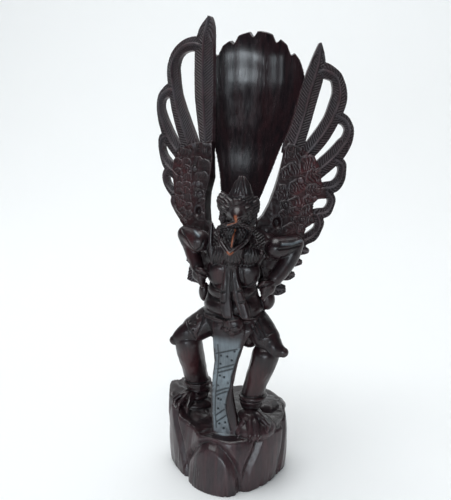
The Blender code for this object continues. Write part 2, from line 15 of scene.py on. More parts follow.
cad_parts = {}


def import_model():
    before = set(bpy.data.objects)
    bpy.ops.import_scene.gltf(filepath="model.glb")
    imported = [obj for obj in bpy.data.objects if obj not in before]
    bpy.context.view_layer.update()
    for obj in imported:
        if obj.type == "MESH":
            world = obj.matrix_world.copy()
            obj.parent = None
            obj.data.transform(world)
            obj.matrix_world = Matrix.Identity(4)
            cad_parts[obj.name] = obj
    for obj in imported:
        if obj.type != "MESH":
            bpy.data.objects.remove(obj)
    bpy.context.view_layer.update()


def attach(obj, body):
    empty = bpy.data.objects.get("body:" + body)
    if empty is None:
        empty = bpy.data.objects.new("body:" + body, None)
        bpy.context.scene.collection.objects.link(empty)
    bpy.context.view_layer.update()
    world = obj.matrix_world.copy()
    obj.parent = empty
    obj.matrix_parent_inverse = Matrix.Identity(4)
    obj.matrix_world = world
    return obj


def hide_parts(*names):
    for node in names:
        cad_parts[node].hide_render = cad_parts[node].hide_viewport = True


# Camera of the photograph, in metres in the frame of the CAD
FOCAL_PIXELS = 900
LONG_SIDE_PIXELS = 500
SENSOR = 36.0
CAMERA_PLACE = Vector((0.15806, -0.73159, 0.41955))
CAMERA_RIGHT = Vector((0.97815, 0.20791, 0))
CAMERA_UP = Vector((-0.05731, 0.26961, 0.96126))
CAMERA_FORWARD = Vector((-0.19986, 0.94026, -0.27564))

# Driving sizes, in metres
FIGURE_HEIGHT = 0.353        # top of the base at the front to the highest wing tip
BASE_HEIGHT = 0.047
BASE_RADIUS = 0.055
PETAL_GROOVE_DEPTH = 0.0045
PETAL_GROOVE_WIDTH = 0.0050
FIGURE_SHIFT = (0.010, 0.022)        # where the figure's own middle stands on the base
WING_THICKNESS = 0.0080
COVERT_THICKNESS = 0.0125
RACHIS_HEIGHT = 0.0008
TAIL_THICKNESS = 0.0085
TAIL_SCOOP = 0.0110
TAIL_FLUTE = 0.0002
CLOTH_THICKNESS = 0.0060
SASH_THICKNESS = 0.0050

# The figure's pose and proportions are shares of its height: one unit is a millimetre at full size,
# and heights are counted from the underside, with the ground at GROUND.
UNIT = FIGURE_HEIGHT / 353
GROUND = 47

# Wing plane: where it is rooted, and how far it sweeps and leans back
WING_ROOT = (21.3, 5, 220.8)
WING_SWEEP = math.radians(22)
WING_LEAN = math.radians(12)
FEATHER_ROOT = 9             # how far a feather runs on under the coverts

# Feathers viewed from the front: (out, up, width) along each one's middle, in units
RIGHT_FEATHERS = (
    ((29, 70, 18), (37.4, 92, 16.3), (44.9, 116, 17), (48.9, 127, 16.4), (53.1, 140, 14), (55, 150, 9),
     (56, 159, 2)),
    ((41, 63, 13.7), (53, 76, 15), (63.5, 91, 14.2), (70.8, 107, 15.1), (72.4, 116.4, 13), (71, 125, 11.6),
     (68, 130.3, 11.5), (59, 135, 14), (54, 134, 11)),
    ((52, 48.6, 14.6), (66.5, 60.4, 15), (74, 69, 13.5), (78.2, 75, 10.6), (80, 83.2, 8.4), (77.2, 89.8, 9),
     (73.4, 92.6, 10), (69, 95, 9)),
    ((56, 31.6, 11.5), (64.4, 33.1, 11), (70, 38.7, 9.3), (72.6, 47, 7.4), (71.8, 52.8, 8.5), (66, 57, 8)),
    ((49, 9.4, 9.7), (56.6, 10.6, 9), (61, 16.6, 7), (61.8, 22.6, 7.3), (57, 29, 8)),
    ((36.4, -13.6, 9.6), (43.4, -10, 10.3), (48.6, -3.9, 7.8), (50.2, 1.5, 8.5), (48, 8, 8)),
    ((25.7, -20.6, 11.8), (34.3, -22.4, 9), (39.6, -23.5, 3.8)),
    ((18.6, -31, 12), (28.1, -32.5, 8.8), (33.5, -33.2, 4.3)),
    ((11, -42.1, 12), (19.6, -43.7, 9.7), (26, -43.5, 4.4)),
    ((2, -52.7, 12), (10.6, -55.8, 12), (17.5, -56, 6)),
)
RIGHT_COVERTS = (
    (21.6, 75), (18, 58.4), (14.2, 43.7), (10.7, 32.4), (6, 21.2), (-0.8, 10), (-6.3, 5), (-7, -10.7),
    (-6, -30), (-2, -48), (8, -50), (21, -36.8), (28.8, -25.7), (34.6, -12.6), (37, -3), (45, 1.5), (44, 9),
    (44, 18), (48, 22), (57, 22.5), (56, 31), (52.5, 38), (52, 48.6), (47, 59.3), (38, 65.7),
)

LEFT_FEATHERS = (
    ((20, 71, 13.5), (25.7, 100, 18.3), (28.9, 117.3, 20.2), (33.7, 152.4, 19.9), (34, 165, 17.4),
     (33, 173, 13), (32.3, 179, 6.5), (32.2, 182, 2)),
    ((38.7, 68.7, 17), (49.3, 87.3, 16), (59.9, 109.6, 13), (65.8, 130.5, 12.5), (65.9, 140.5, 11.6),
     (63.2, 147.8, 11.1), (58, 153.1, 11.2), (51, 156.3, 12.2), (43.5, 157.3, 13), (38, 156, 12)),
    ((51, 60.8, 11.7), (59.7, 69.1, 12.6), (67.3, 80, 11), (72.3, 89, 9.3), (76, 99, 7.5), (75.2, 108.2, 8.5),
     (67.7, 114.6, 12), (62, 115, 11)),
    ((52.5, 41.9, 11.9), (60.8, 47.7, 10.3), (66.4, 55, 7), (69.7, 63.2, 6), (68.5, 70.2, 9.5), (63, 73, 8)),
    ((48.6, 22.1, 10), (56.6, 27.4, 7), (61, 34.1, 6), (60.4, 38.8, 8), (57, 44, 7)),
    ((38, 3.3, 8.8), (46, 9.2, 5), (49.5, 14, 4.6), (49, 19, 5)),
    ((12, -26, 13), (20, -33, 11), (25.5, -37, 5)),
    ((12, -32, 14), (15.5, -44, 15), (16.8, -55, 14.4)),
)
LEFT_COVERTS = (
    (13, 72.4), (10, 58.5), (10.6, 40.6), (13, 27.8), (12.3, 14.4), (9.6, 2), (2, -8), (-6, -20), (-2, -44),
    (12, -46), (20, -30), (26, -12), (37.8, -2.6), (43, 9.6), (46.8, 21), (50.6, 32.5), (52.7, 43.3),
    (51.4, 54.4), (46.8, 62), (37.3, 66.6), (27.7, 69.3),
)
COVERT_MIDDLE = 26           # the line that the coverts' narrower back is drawn in toward
COVERT_THICK_TO = 40         # the height from which their back grows narrower

# Tail: height, then its middle, half width and depth there
TAIL_STATIONS = (
    (196, -4, 12, 6), (222, -4.8, 15, 15), (235, -4.2, 17, 20), (250, -2.2, 20.4, 25),
    (266, -0.4, 24.6, 29), (284, 0.8, 29.8, 32), (304, 2.9, 35.9, 36.5), (326, 3.5, 41.2, 40),
    (339, 4.4, 44.6, 41.3), (350, 4.6, 45.8, 42), (368, 4.6, 45.8, 43.2), (386, 4.6, 45.8, 47),
)
TAIL_LOBES = (-1.0, -0.75, -0.455, -0.08, 0.39, 0.70, 1.0)
TAIL_TOP = 386
TAIL_DROP = (29, 30)         # how far the top falls to its left and right corners
TAIL_NOTCH = 5.5

# Side of the base: angle in degrees from +X, radius shares at the bottom and rim, height of the rim in units
BASE_SIDE = (
    (-180, 0.92, 0.93, 66), (-165, 0.84, 0.86, 59), (-150, 0.79, 0.78, 52), (-137, 0.79, 0.68, 48),
    (-124, 0.80, 0.67, 47), (-108, 0.91, 0.80, 46), (-93, 1.01, 0.86, 46), (-75, 1.11, 0.95, 46),
    (-62, 1.07, 0.97, 46), (-41, 1.02, 1.00, 46), (-14, 0.99, 1.10, 48), (3, 1.06, 1.08, 53),
    (20, 1.08, 1.03, 59), (55, 1.06, 1.01, 59), (85, 0.95, 0.93, 56), (112, 1.00, 0.98, 58),
    (143, 1.08, 1.08, 67), (162, 1.00, 1.04, 70), (180, 0.92, 0.93, 66),
)
# Grooves on that side, as lines of (angle, share of the height)
BASE_GROOVES = (
    ((-158.5, 1.0), (-152.5, 0.83), (-145, 0.63), (-135, 0.31), (-126.5, 0.05)),
    ((-126.5, 0.05), (-129.5, 0.23), (-127, 0.43), (-115.5, 0.67), (-103.5, 0.86), (-93.5, 0.94),
     (-84.5, 0.93), (-75, 0.81), (-68, 0.59), (-63, 0.34), (-62, 0.0)),
    ((-42, 1.0), (-46.5, 0.79), (-53, 0.58), (-57, 0.4), (-61.5, 0.1)),
    ((-8, 1.0), (-10, 0.55), (-12, 0.15)),
    ((20, 1.0), (30, 0.6), (42, 0.1)), ((66, 1.0), (56, 0.55), (43, 0.1)),
    ((88, 1.0), (96, 0.55), (106, 0.05)), ((126, 1.0), (118, 0.55), (107, 0.05)),
    ((150, 1.0), (158, 0.6), (168, 0.1)), ((188, 1.0), (180, 0.6), (169, 0.1)),
)
# The front petal, which bulges inside its groove: middle angle, half its width, and where it starts and
# ends as shares of the height
FRONT_PETAL = (-95, 30, 0.0, 0.88)
PETAL_BULGE = 0.0022

# Sash ends on the chest: y, z, left and right edge, in units
SASH_LEFT = (
    (-39.5, 197, -4.5, 2), (-40.5, 186, -6, 2), (-42.5, 172, -8, 2), (-44.5, 160, -7, 3.5),
    (-46, 152, -4, 5),
)
SASH_RIGHT = (
    (-39.5, 196, 2, 6), (-40.5, 186, 2, 8), (-42.5, 172, 3.5, 12.5), (-44.5, 160, 8, 17),
    (-46, 152, 12, 19),
)

# Size of the cells that each piece is skinned with, in metres, and its most triangles
FIGURE_CELL = 0.0006
TAIL_CELL = 0.0007
WING_CELL = 0.0005
PIECE_TRIANGLES = 196000
TAIL_TRIANGLES = 90000

# Low carving, in units
KNIFE_CELL = 6.2
KNIFE_DEPTH = 0.13
LIMB_KNIFE_DEPTH = 0.30
BARB_PITCH = 2.6
BARB_SLANT = 0.72
BARB_STAGGER = 0.37          # share of a pitch by which each feather's barbs start later
BARBED_FROM = 3.2            # half width from which a feather carries barbs
FEATHER_REACH = 1.12         # how far from its middle a feather is carved, as a share of its half width
BARB_DEPTH = 1.15
RACHIS_EDGE = 1.6            # from the middle of a feather to the cut beside its rachis
SCALE_RISE = 1.5
SCALE_LINE_DEPTH = 0.45
CURL_RISE = 1.5
RECESS_DEPTH = 2.6
SCALE_TILTS = (0.08, 0.30, -0.12, 0.18, 0.42, -0.05)
# Scales over each wing's root: out, up, half width, half height
RIGHT_SCALES = (
    (27.4, 63.3, 8.1, 7.8), (24.2, 47.7, 8.1, 5.7), (41.6, 53.2, 8.2, 7.9), (45.8, 41.7, 6.8, 7.0),
    (30.1, 33.5, 7.7, 6.1), (16.9, 29.6, 4.9, 6.1), (44.5, 30.3, 6.4, 4.8), (27.0, 20.4, 6.3, 4.4),
    (41.5, 20.3, 6.4, 5.3), (39.5, 12.9, 6.4, 4.4), (26.7, 12.5, 5.4, 3.5), (31.0, 4.4, 5.4, 3.5),
    (41.9, 4.0, 4.6, 3.5), (21.8, -2.2, 7.2, 3.5), (33.5, -2.7, 3.6, 3.1), (17.9, 18.2, 3.6, 4.4),
    (16.7, 10.3, 3.6, 3.5),
)
RIGHT_CURLS = ((34.4, 39.5, 3.0), (20.1, 18.1, 2.5), (33.7, 4.7, 2.0))
RIGHT_RECESS = ((11.1, 3.1, 3.5, 5.0),)
LEFT_SCALES = (
    (21.6, 63.5, 12.4, 7.1), (19.2, 50.3, 9.7, 5.3), (19.0, 40.5, 6.5, 3.6), (46.5, 50.2, 4.5, 3.6),
    (45.8, 41.2, 4.5, 4.1), (43.8, 35.0, 4.5, 3.2), (42.5, 29.7, 4.5, 2.9), (41.8, 24.3, 4.5, 2.9),
    (40.3, 18.1, 4.5, 3.4), (36.9, 13.5, 5.0, 2.9), (35.3, 6.0, 4.5, 4.1), (39.3, 59.5, 6.6, 3.6),
    (37.6, 51.1, 5.0, 3.6), (36.2, 44.9, 5.0, 3.4), (34.6, 37.8, 5.0, 3.6), (34.2, 30.7, 5.0, 3.2),
    (33.5, 25.7, 4.4, 2.7), (32.2, 20.0, 4.4, 3.2), (30.6, 12.5, 4.4, 3.6), (29.5, 4.9, 5.0, 3.6),
    (22.1, 31.2, 6.0, 3.1), (20.1, 25.1, 6.5, 3.6), (15.6, 16.7, 4.3, 4.5), (15.1, 5.0, 4.3, 3.6),
)
LEFT_CURLS = ((28.0, 46.2, 2.6), (22.4, 33.4, 3.0), (19.5, 24.3, 3.2), (32.6, 43.5, 1.8), (35.2, 45.9, 1.5))
LEFT_RECESS = ((18.8, 9.1, 3.2, 4.2),)
WINGS = {1: (RIGHT_FEATHERS, RIGHT_COVERTS, RIGHT_SCALES, RIGHT_CURLS, RIGHT_RECESS),
         -1: (LEFT_FEATHERS, LEFT_COVERTS, LEFT_SCALES, LEFT_CURLS, LEFT_RECESS)}

# The long cloth: the range of y that it keeps to, its edges as (height, x), and its bars and dots as
# (x, height)
CLOTH_REACH = (-62, -38)
CLOTH_LEFT = (
    (50, -10.2), (55, -11.3), (69, -12.5), (82, -12.9), (94, -13.4), (104, -11.9), (117, -11.2),
    (127, -13.4),
)
CLOTH_BORDER = ((53, -8.5), (65, -9.7), (78, -10.1), (90, -9.6), (102.5, -8.8), (117, -8.1), (127, -9))
CLOTH_RIGHT = (
    (52, 4), (59, 2), (66, 0.1), (72.5, -1), (79, -0.3), (86, 1.2), (91, 2.8), (99, 3.3), (108, 5.7),
    (117, 8.2), (124, 10.8),
)
CLOTH_BOTTOM = ((-10.3, 50.8), (-3, 47.9), (3.2, 48.6), (4.9, 51.4))
CLOTH_BARS = (
    ((-10.8, 118.6), (2, 122.5), (8, 124)), ((-9.3, 104.8), (2.1, 108.7), (5, 109.6)),
    ((-8.7, 101.6), (2.2, 105.2), (4.5, 106)), ((-9.9, 85), (1.9, 89.9)), ((-9.3, 81.9), (0.9, 86.8)),
    ((-9.6, 63.6), (-1.8, 69.8)), ((-8.6, 57.8), (0.1, 64.6)),
)
CLOTH_DOTS = (
    (-6.2, 117.2), (-0.6, 116.7), (6, 121.9), (-6.6, 109.7), (3.4, 113.4), (-6.9, 99.1), (-3, 98.1),
    (0.6, 93.7), (-8.2, 90.6), (-7.4, 79), (-5.1, 78.4), (-1, 74.3), (-7.2, 70.3), (-0.8, 58.1),
    (-5.9, 56.7), (-1.8, 52.8),
)

# Head: places as (x, height), with raw wood where the stain has worn off the beak
EYES = ((-5.3, 237.7), (14.2, 239.6))
BEADS = (
    (17.5, -33, 232), (18, -33, 228), (18.8, -33, 224.5), (20.2, -34, 221), (22.3, -35, 217.3),
    (23.6, -35, 213), (26.4, -35, 209), (28.6, -34, 205),
)
NECK_BAND = ((-17.9, -29, 229, 1.8), (-18.4, -31, 218, 2), (-17.5, -33, 207, 2), (-16.3, -34, 196.6, 1.8))
RAW_LINES = (
    (((8.9, 244.5), (9.6, 241.5)), 1.7), (((10, 240.5), (5, 238), (1, 236)), 0.45),
    (((6.3, 231), (5.6, 225), (4.8, 218)), 0.8), (((2.4, 214.4), (4.8, 212.8), (6.6, 214.2)), 1.0),
)

# Body: cuts and ridges as (x, height)
BELLY_FOLDS = (
    ((-22, 178), (-16, 175), (-9.7, 173.7), (-4, 174.5)), ((8, 176), (14, 177), (20, 181)),
    ((-23, 169), (-16, 165), (-9.8, 164.2), (-4, 165.5)), ((10, 166), (17, 168), (22, 172)),
    ((-14, 151.5), (-6.3, 149.9), (3, 151.5), (9, 153)),
)
SASH_EDGES = (
    ((-5.5, 195), (-6, 180), (-7, 165), (-5.5, 152)), ((1.4, 194), (1.6, 180), (2.4, 166), (4, 153)),
    ((10.5, 192), (12, 180), (15, 166), (19.5, 152)),
)
SASH_MIDDLES = (((-2.8, 193), (-2.3, 180), (-2.3, 167)), ((4.5, 192), (6.4, 176), (9.4, 164), (13.3, 153.6)))
PENDANT = (2, 142.4)
ARM_RIDGES = (((-45.8, 228.1), (-37.9, 224.1), (-29, 218.4)), ((43.1, 214.9), (50.8, 214.5), (58.4, 216.3)))
ARM_GROOVES = (
    ((-46.8, 220), (-39.8, 213.3), (-35.4, 208.1), (-31.8, 204.7), (-27.3, 208.6), (-24.7, 214.1)),
    ((40, 211.6), (48, 211.2), (57, 212.5)),
)
HEMS = (
    ((-40.4, 141.6), (-36.5, 136), (-33, 132), (-31, 127)), ((31.7, 136), (36, 138.5), (41.6, 139.5)),
    ((-24.5, 148), (-25, 142), (-27, 136), (-29, 131)),
)
PLEATS = (
    ((21.9, 147), (25, 142), (29.7, 135.4)), ((24.5, 148.5), (28.5, 142.5), (32, 137)),
    ((19.5, 144.5), (22.5, 139), (26.5, 133.5)),
)
HEM_DOTS = ((-29.5, 146), (-36.7, 141.5), (-31.3, 141), (-33.1, 135))
# Cuts on the body: lines, depth, half width and the range of y that they keep to
BODY_CUTS = (
    (BELLY_FOLDS, 1.0, 1.4, (-60, -25)), (SASH_EDGES, 0.6, 0.9, (-60, -36)),
    (SASH_MIDDLES, 0.35, 0.8, (-60, -36)), (ARM_GROOVES, 0.7, 1.0, (-45, -5)), (HEMS, 0.8, 1.0, (-60, -18)),
    (PLEATS, 0.8, 1.1, (-60, -25)),
)

# Places rubbed red, as x, y, height and reach
RUBBED_PLACES = ((-38, -38, 100, 14), (26, -47, 95, 14), (-10, -40, 186, 9), (-40, -30, 205, 12))
# Rings on the legs and claws, as x, y and height
ANKLES = ((-35, -15, 77), (20, -34.5, 77))
CLAWS = (
    (-53, -29, 60), (-47.5, -35, 60), (-38.5, -39, 59.5), (12, -57, 50.5), (23, -63, 50), (30, -61, 50),
    (37, -51, 55.5),
)

# Shallow dish in the tail, which holds the oval highlight: x, height, half width, half height and depth
TAIL_DISH = (-7.4, 350, 19, 28, 0.8)

# What the carving leaves for the material at each point: the pale layer is painted sheen and highlights (on
# the cloth also a rubbed paler tone), the dark layer is painted shade in cuts and gaps
LAYERS = ("red", "pale", "raw", "dark", "polish")

# Finish, as linear colours
STAIN_DARK = (0.0052, 0.0032, 0.0046, 1)
STAIN_BROWN = (0.0135, 0.0060, 0.0080, 1)
STAIN_RED_BROWN = (0.029, 0.0085, 0.0105, 1)
RUBBED_RED = (0.085, 0.0180, 0.0210, 1)
EDGE_BROWN = (0.060, 0.0300, 0.0310, 1)
# Painted sheen: the pale grey-blue of highlights on cloth, barbs, scale lips and base, with a rubbed paler
# tone on the cloth
SHEEN_AND_WAX_GREY = (0.215, 0.262, 0.290, 1)
# Painted shade: near black in cuts and hollows
PAINTED_SHADE_BLACK = (0.0030, 0.0024, 0.0034, 1)
RAW_WOOD = (0.340, 0.100, 0.042, 1)

# Studio
FLOOR_FRONT = -2.5
FLOOR_HALF_WIDTH = 3.2
BACKDROP_BEHIND = 1.6
BACKDROP_CURVE = 0.9
BACKDROP_TOP = 2.6
FLOOR_COLOR = (0.86, 0.87, 0.87, 1)
WORLD_COLOR = (0.94, 0.97, 1.0, 1)
WORLD_STRENGTH = 0.07
SOFTBOXES = (
    ("key softbox", (0.10, -1.65, 0.46), (0, 0, 0.33), (1.1, 0.34), 10, (0.84, 0.93, 1.0)),
    ("side softbox", (-0.92, -1.40, 0.44), (0, 0, 0.33), (0.26, 0.28), 0.8, (0.84, 0.93, 1.0)),
    ("top softbox", (-0.3, 0.2, 2.3), (0, 0.1, 0), (2.2, 2.2), 60, (0.97, 0.99, 1.0)),
)


def at(x, y, z):
    """A place on the figure, from units to metres."""
    shift_x, shift_y = FIGURE_SHIFT
    return Vector((x * UNIT + shift_x, y * UNIT + shift_y, BASE_HEIGHT + (z - GROUND) * UNIT))


def smooth(points, steps):
    """Points on a smooth curve through the given tuples, by Catmull-Rom."""
    ends = [points[0], *points, points[-1]]
    out = []
    for a, b, c, d in zip(ends, ends[1:], ends[2:], ends[3:]):
        for k in range(steps):
            t = k / steps
            out.append(tuple(
                q + 0.5 * t * ((r - p) + t * ((2 * p - 5 * q + 4 * r - s) + t * (3 * q - p - 3 * r + s)))
                for p, q, r, s in zip(a, b, c, d)
            ))
    out.append(tuple(points[-1]))
    return out


def interpolate(stations, x):
    """The values beside x in a table of stations, read straight between them."""
    for low, high in zip(stations, stations[1:]):
        if x <= high[0]:
            t = max(0.0, (x - low[0]) / (high[0] - low[0]))
            return [p + (q - p) * t for p, q in zip(low[1:], high[1:])]
    return list(stations[-1][1:])


def loft(bm, rings):
    """A closed body through rings of points, flat at both ends."""
    rows = [[bm.verts.new(p) for p in ring] for ring in rings]
    count = len(rows[0])
    for low, high in zip(rows, rows[1:]):
        for i in range(count):
            j = (i + 1) % count
            bm.faces.new((low[i], low[j], high[j], high[i]))
    bm.faces.new(reversed(rows[0]))
    bm.faces.new(rows[-1])


def to_mesh(bm, name):
    mesh = bpy.data.meshes.new(name)
    bm.to_mesh(mesh)
    bm.free()
    return mesh


def add_mesh(bm, mesh):
    """Adds a mesh to the forms and removes it."""
    bm.from_mesh(mesh)
    bpy.data.meshes.remove(mesh)


def placed(name, data):
    """An object in the scene with this data."""
    piece = bpy.data.objects.new(name, data)
    bpy.context.scene.collection.objects.link(piece)
    return piece


def add_ball(bm, place):
    """A unit sphere put in place by a matrix. It is made apart, as primitives are slow in a large mesh."""
    sphere = bmesh.new()
    bmesh.ops.create_uvsphere(sphere, u_segments=32, v_segments=20, radius=1, matrix=place)
    add_mesh(bm, to_mesh(sphere, "ball"))


def ball(bm, centre, radii, turn=0.0):
    """An ellipsoid with its own radii in units, turned about Z."""
    place = Matrix.Translation(at(*centre)) @ Matrix.Rotation(math.radians(turn), 4, "Z")
    add_ball(bm, place @ Matrix.Diagonal((*(r * UNIT for r in radii), 1)))


def evaluated(piece):
    """The mesh that an object's curve or modifiers make. The object is removed."""
    bpy.context.view_layer.update()
    mesh = bpy.data.meshes.new_from_object(piece.evaluated_get(bpy.context.evaluated_depsgraph_get()))
    bpy.data.objects.remove(piece)
    return mesh


def modified(mesh, kind, **settings):
    """The mesh that one modifier makes of a mesh."""
    piece = placed(kind, mesh)
    modifier = piece.modifiers.new(kind, kind)
    for key, value in settings.items():
        setattr(modifier, key, value)
    made = evaluated(piece)
    bpy.data.meshes.remove(mesh)
    return made


def limb(bm, *stations):
    """A round limb through (x, y, z, radius) stations, with round ends."""
    curve = bpy.data.curves.new("limb", "CURVE")
    curve.dimensions = "3D"
    curve.bevel_depth = UNIT
    curve.bevel_resolution = 8
    curve.use_fill_caps = True
    points = smooth(stations, 10)
    spline = curve.splines.new("POLY")
    spline.points.add(len(points) - 1)
    for point, (x, y, z, radius) in zip(spline.points, points):
        point.co = (*at(x, y, z), 1)
        point.radius = radius
    tube = bmesh.new()
    add_mesh(tube, evaluated(placed("limb", curve)))
    bmesh.ops.remove_doubles(tube, verts=tube.verts, dist=1e-6)
    add_mesh(bm, to_mesh(tube, "limb"))
    bpy.data.curves.remove(curve)
    for x, y, z, radius in (stations[0], stations[-1]):
        ball(bm, (x, y, z), (radius, radius, radius))


def ellipse(x, y, z, half_width, half_depth, count=64):
    turns = (2 * math.pi * i / count for i in range(count))
    return [at(x + half_width * math.cos(a), y + half_depth * math.sin(a), z) for a in turns]


def wing_frame(side):
    """A wing's root, and its directions out, up and front. Side is 1 on the right and -1 on the left."""
    back = Vector((-side * math.sin(WING_SWEEP), math.cos(WING_SWEEP), 0))
    out = Vector((side * math.cos(WING_SWEEP), math.sin(WING_SWEEP), 0))
    up = Vector((0, 0, math.cos(WING_LEAN))) + back * math.sin(WING_LEAN)
    x, y, z = WING_ROOT
    return at(side * x, y, z), out, up, out.cross(up) * side


def on_wing(side, u, v, lift):
    """A place on a wing: u out and v up in units, lift in metres toward the front."""
    root, out, up, front = wing_frame(side)
    return root + (out * u + up * v) * UNIT + front * lift


def feather(bm, side, spine):
    """A blade along a smooth line on the wing, thickest at its raised rachis."""
    (u0, v0, width0), (u1, v1, _) = spine[:2]
    back = Vector((u0 - u1, v0 - v1)).normalized() * FEATHER_ROOT
    points = smooth(((u0 + back.x, v0 + back.y, width0 * 0.9), *spine), 8)
    rings = []
    for i, (u, v, width) in enumerate(points):
        before, after = points[max(i - 1, 0)], points[min(i + 1, len(points) - 1)]
        run = Vector((after[0] - before[0], after[1] - before[1])).normalized()
        half = width / 2
        rib = min(1.4, 0.3 * half)
        front = WING_THICKNESS / 2
        section = (
            (-half, -0.8 * front), (-half, 0.62 * front), (-rib, 0.8 * front), (0, front + RACHIS_HEIGHT),
            (rib, 0.8 * front), (half, 0.62 * front), (half, -0.8 * front), (0, -front),
        )
        rings.append([on_wing(side, u + run.y * s, v - run.x * s, lift) for s, lift in section])
    loft(bm, rings)


def coverts(bm, side, outline):
    """The thick part of a wing, which carries the scales."""
    half = COVERT_THICKNESS / 2
    rings = []
    for lift, pull in ((-half, 0.36), (-half * 0.4, 0.12), (half * 0.2, 0.0), (half * 0.55, 0.03)):
        # The back is narrower than the front, but only in the upper part
        pulls = [(u, v, pull * min(1.0, max(0.0, (v - COVERT_THICK_TO) / 30))) for u, v in outline]
        rings.append([on_wing(side, u + pulled * (COVERT_MIDDLE - u), v, lift) for u, v, pulled in pulls])
    loft(bm, rings)


def tail_top(s):
    """Height of the tail's scalloped edge, in units, at a share of its half width."""
    drop = TAIL_DROP[0 if s < 0 else 1] * s * s + 9 * max(0.0, (abs(s) - 0.85) / 0.15) ** 2
    gap = min(abs(s - lobe) for lobe in TAIL_LOBES[1:-1])
    return TAIL_TOP - drop - TAIL_NOTCH * max(0.0, 1 - gap / 0.08) ** 0.8


def tail(bm):
    """The upright fan: a scooped front with a flute down each feather, and a narrower round back."""
    columns, rows = 192, 80
    stations = smooth(TAIL_STATIONS, 6)
    low = TAIL_STATIONS[0][0]
    fronts, backs = [], []
    for j in range(rows + 1):
        front, back = [], []
        for i in range(columns + 1):
            s = 2 * i / columns - 1
            z = low + (tail_top(s) - low) * j / rows
            middle, half, y = interpolate(stations, z)
            lobe = max(k for k in range(len(TAIL_LOBES) - 1) if s >= TAIL_LOBES[k] - 1e-9)
            q = 2 * (s - TAIL_LOBES[lobe]) / (TAIL_LOBES[lobe + 1] - TAIL_LOBES[lobe]) - 1
            depth = (half / 45) * (TAIL_SCOOP * (1 - s * s) + TAIL_FLUTE * (1 - q * q) ** 2)
            thick = TAIL_THICKNESS * (1 - 0.35 * s ** 4)
            front.append(bm.verts.new(at(middle + half * s, y, z) + Vector((0, depth, 0))))
            back.append(bm.verts.new(at(middle + (half - 3) * s, y, z) + Vector((0, depth + thick, 0))))
        fronts.append(front)
        backs.append(back)
    strips = list(zip(fronts, fronts[1:])) + list(zip(backs[1:], backs))
    strips += [(backs[0], fronts[0]), (fronts[-1], backs[-1])]
    for below, above in strips:
        for i in range(columns):
            bm.faces.new((below[i], below[i + 1], above[i + 1], above[i]))
    for k, turned in ((0, False), (columns, True)):
        for j in range(rows):
            side = (fronts[j][k], fronts[j + 1][k], backs[j + 1][k], backs[j][k])
            bm.faces.new(side[::-1] if turned else side)


def torso(bm):
    sections = (
        (1, -28, 124, 10, 10), (0, -25, 132, 20, 15), (0, -24, 143, 26, 18), (0, -23, 155, 26, 18),
        (-1, -22, 166, 23, 16), (-1, -21, 178, 20, 15), (0, -21, 190, 21, 15), (2, -20, 201, 26, 15),
        (3, -19, 211, 30, 13), (3, -17, 219, 24, 12), (3, -16, 226, 14, 10),
    )
    loft(bm, [ellipse(*section) for section in sections])
    # Chest, and the two rolls of the belly
    ball(bm, (-10.5, -27.5, 187), (12.5, 8.8, 13.5))
    ball(bm, (12, -28.5, 188), (12.5, 8.8, 13.5))
    ball(bm, (-1, -23, 170), (22, 17.5, 12.5))
    ball(bm, (-1, -23.5, 157), (25, 20, 12.5))
    ball(bm, (-1, -28, 145), (20, 17, 9))
    # Back, which carries the wings and the tail
    limb(bm, (0, -10, 142, 17), (0, -4, 165, 15), (0, 0, 190, 16), (-1, 5, 208, 13), (-4, 12, 222, 9))
    limb(bm, (-22, -2, 205, 12), (0, 0, 210, 13), (24, -2, 205, 12))
    ball(bm, (22, 2, 188), (12, 8, 19))
    ball(bm, (-21, 2, 186), (11, 8, 19))
    ball(bm, (-22.5, 8, 229), (5, 6, 13))


def head(bm):
    ball(bm, (5, -28, 238), (16.5, 16, 18))
    ball(bm, (3, -26, 248), (16.5, 12, 8.5))
    loft(bm, [ellipse(*section) for section in (
        (7, -28, 246, 12.5, 9), (7, -28, 256, 10.5, 8), (7.6, -28, 263, 8, 6.5), (8, -28, 269, 5, 4.5),
        (8, -28, 272.5, 2.2, 2.2))])
    for x, y, z, wide in ((-9, -24, 248, 6), (18, -24, 246, 5)):
        ball(bm, (x, y, z), (wide, 8, 9))
    # Brows
    ball(bm, (-2, -42, 247), (7, 5, 3.5), -15)
    ball(bm, (14, -42, 247), (6.5, 5, 3.5), 15)
    # Upper beak with its two lips, then the lower jaw with its rims, the throat and the tongue
    limb(bm, (6, -34, 241, 13), (7.5, -44, 243, 10), (9, -53, 244, 6.5), (10.2, -60, 241, 2.6))
    limb(bm, (-8.5, -41, 229.5, 2.6), (-1, -50, 234.5, 2.2), (9.5, -60, 239.8, 1.8))
    limb(bm, (19, -41, 230, 2.4), (15.5, -50, 234.5, 2.1), (10.5, -60, 239.8, 1.8))
    limb(bm, (4, -38, 222, 11), (4, -47, 217, 6.5), (4, -56, 213, 2.6))
    limb(bm, (-8.5, -42, 228, 2.5), (-6.5, -48, 221.5, 2.2), (-1.5, -54, 216.5, 2), (4, -60, 213, 1.8))
    limb(bm, (18, -42, 229, 2.5), (15.5, -47.5, 222, 2.2), (9.5, -54, 216.8, 2), (4, -60, 213, 1.8))
    ball(bm, (4.5, -39, 227), (13, 10.5, 11))
    limb(bm, (8, -46, 231.5, 1.8), (6, -53, 225, 1.7), (4.6, -55, 217, 1.5))
    # Beard and the curls beside it
    limb(bm, (4, -41, 212, 9), (3, -38, 204, 9), (2, -37, 198, 6))
    ball(bm, (-8, -31, 204), (10.5, 7.5, 10))
    ball(bm, (14, -31, 205), (10.5, 7.5, 10))


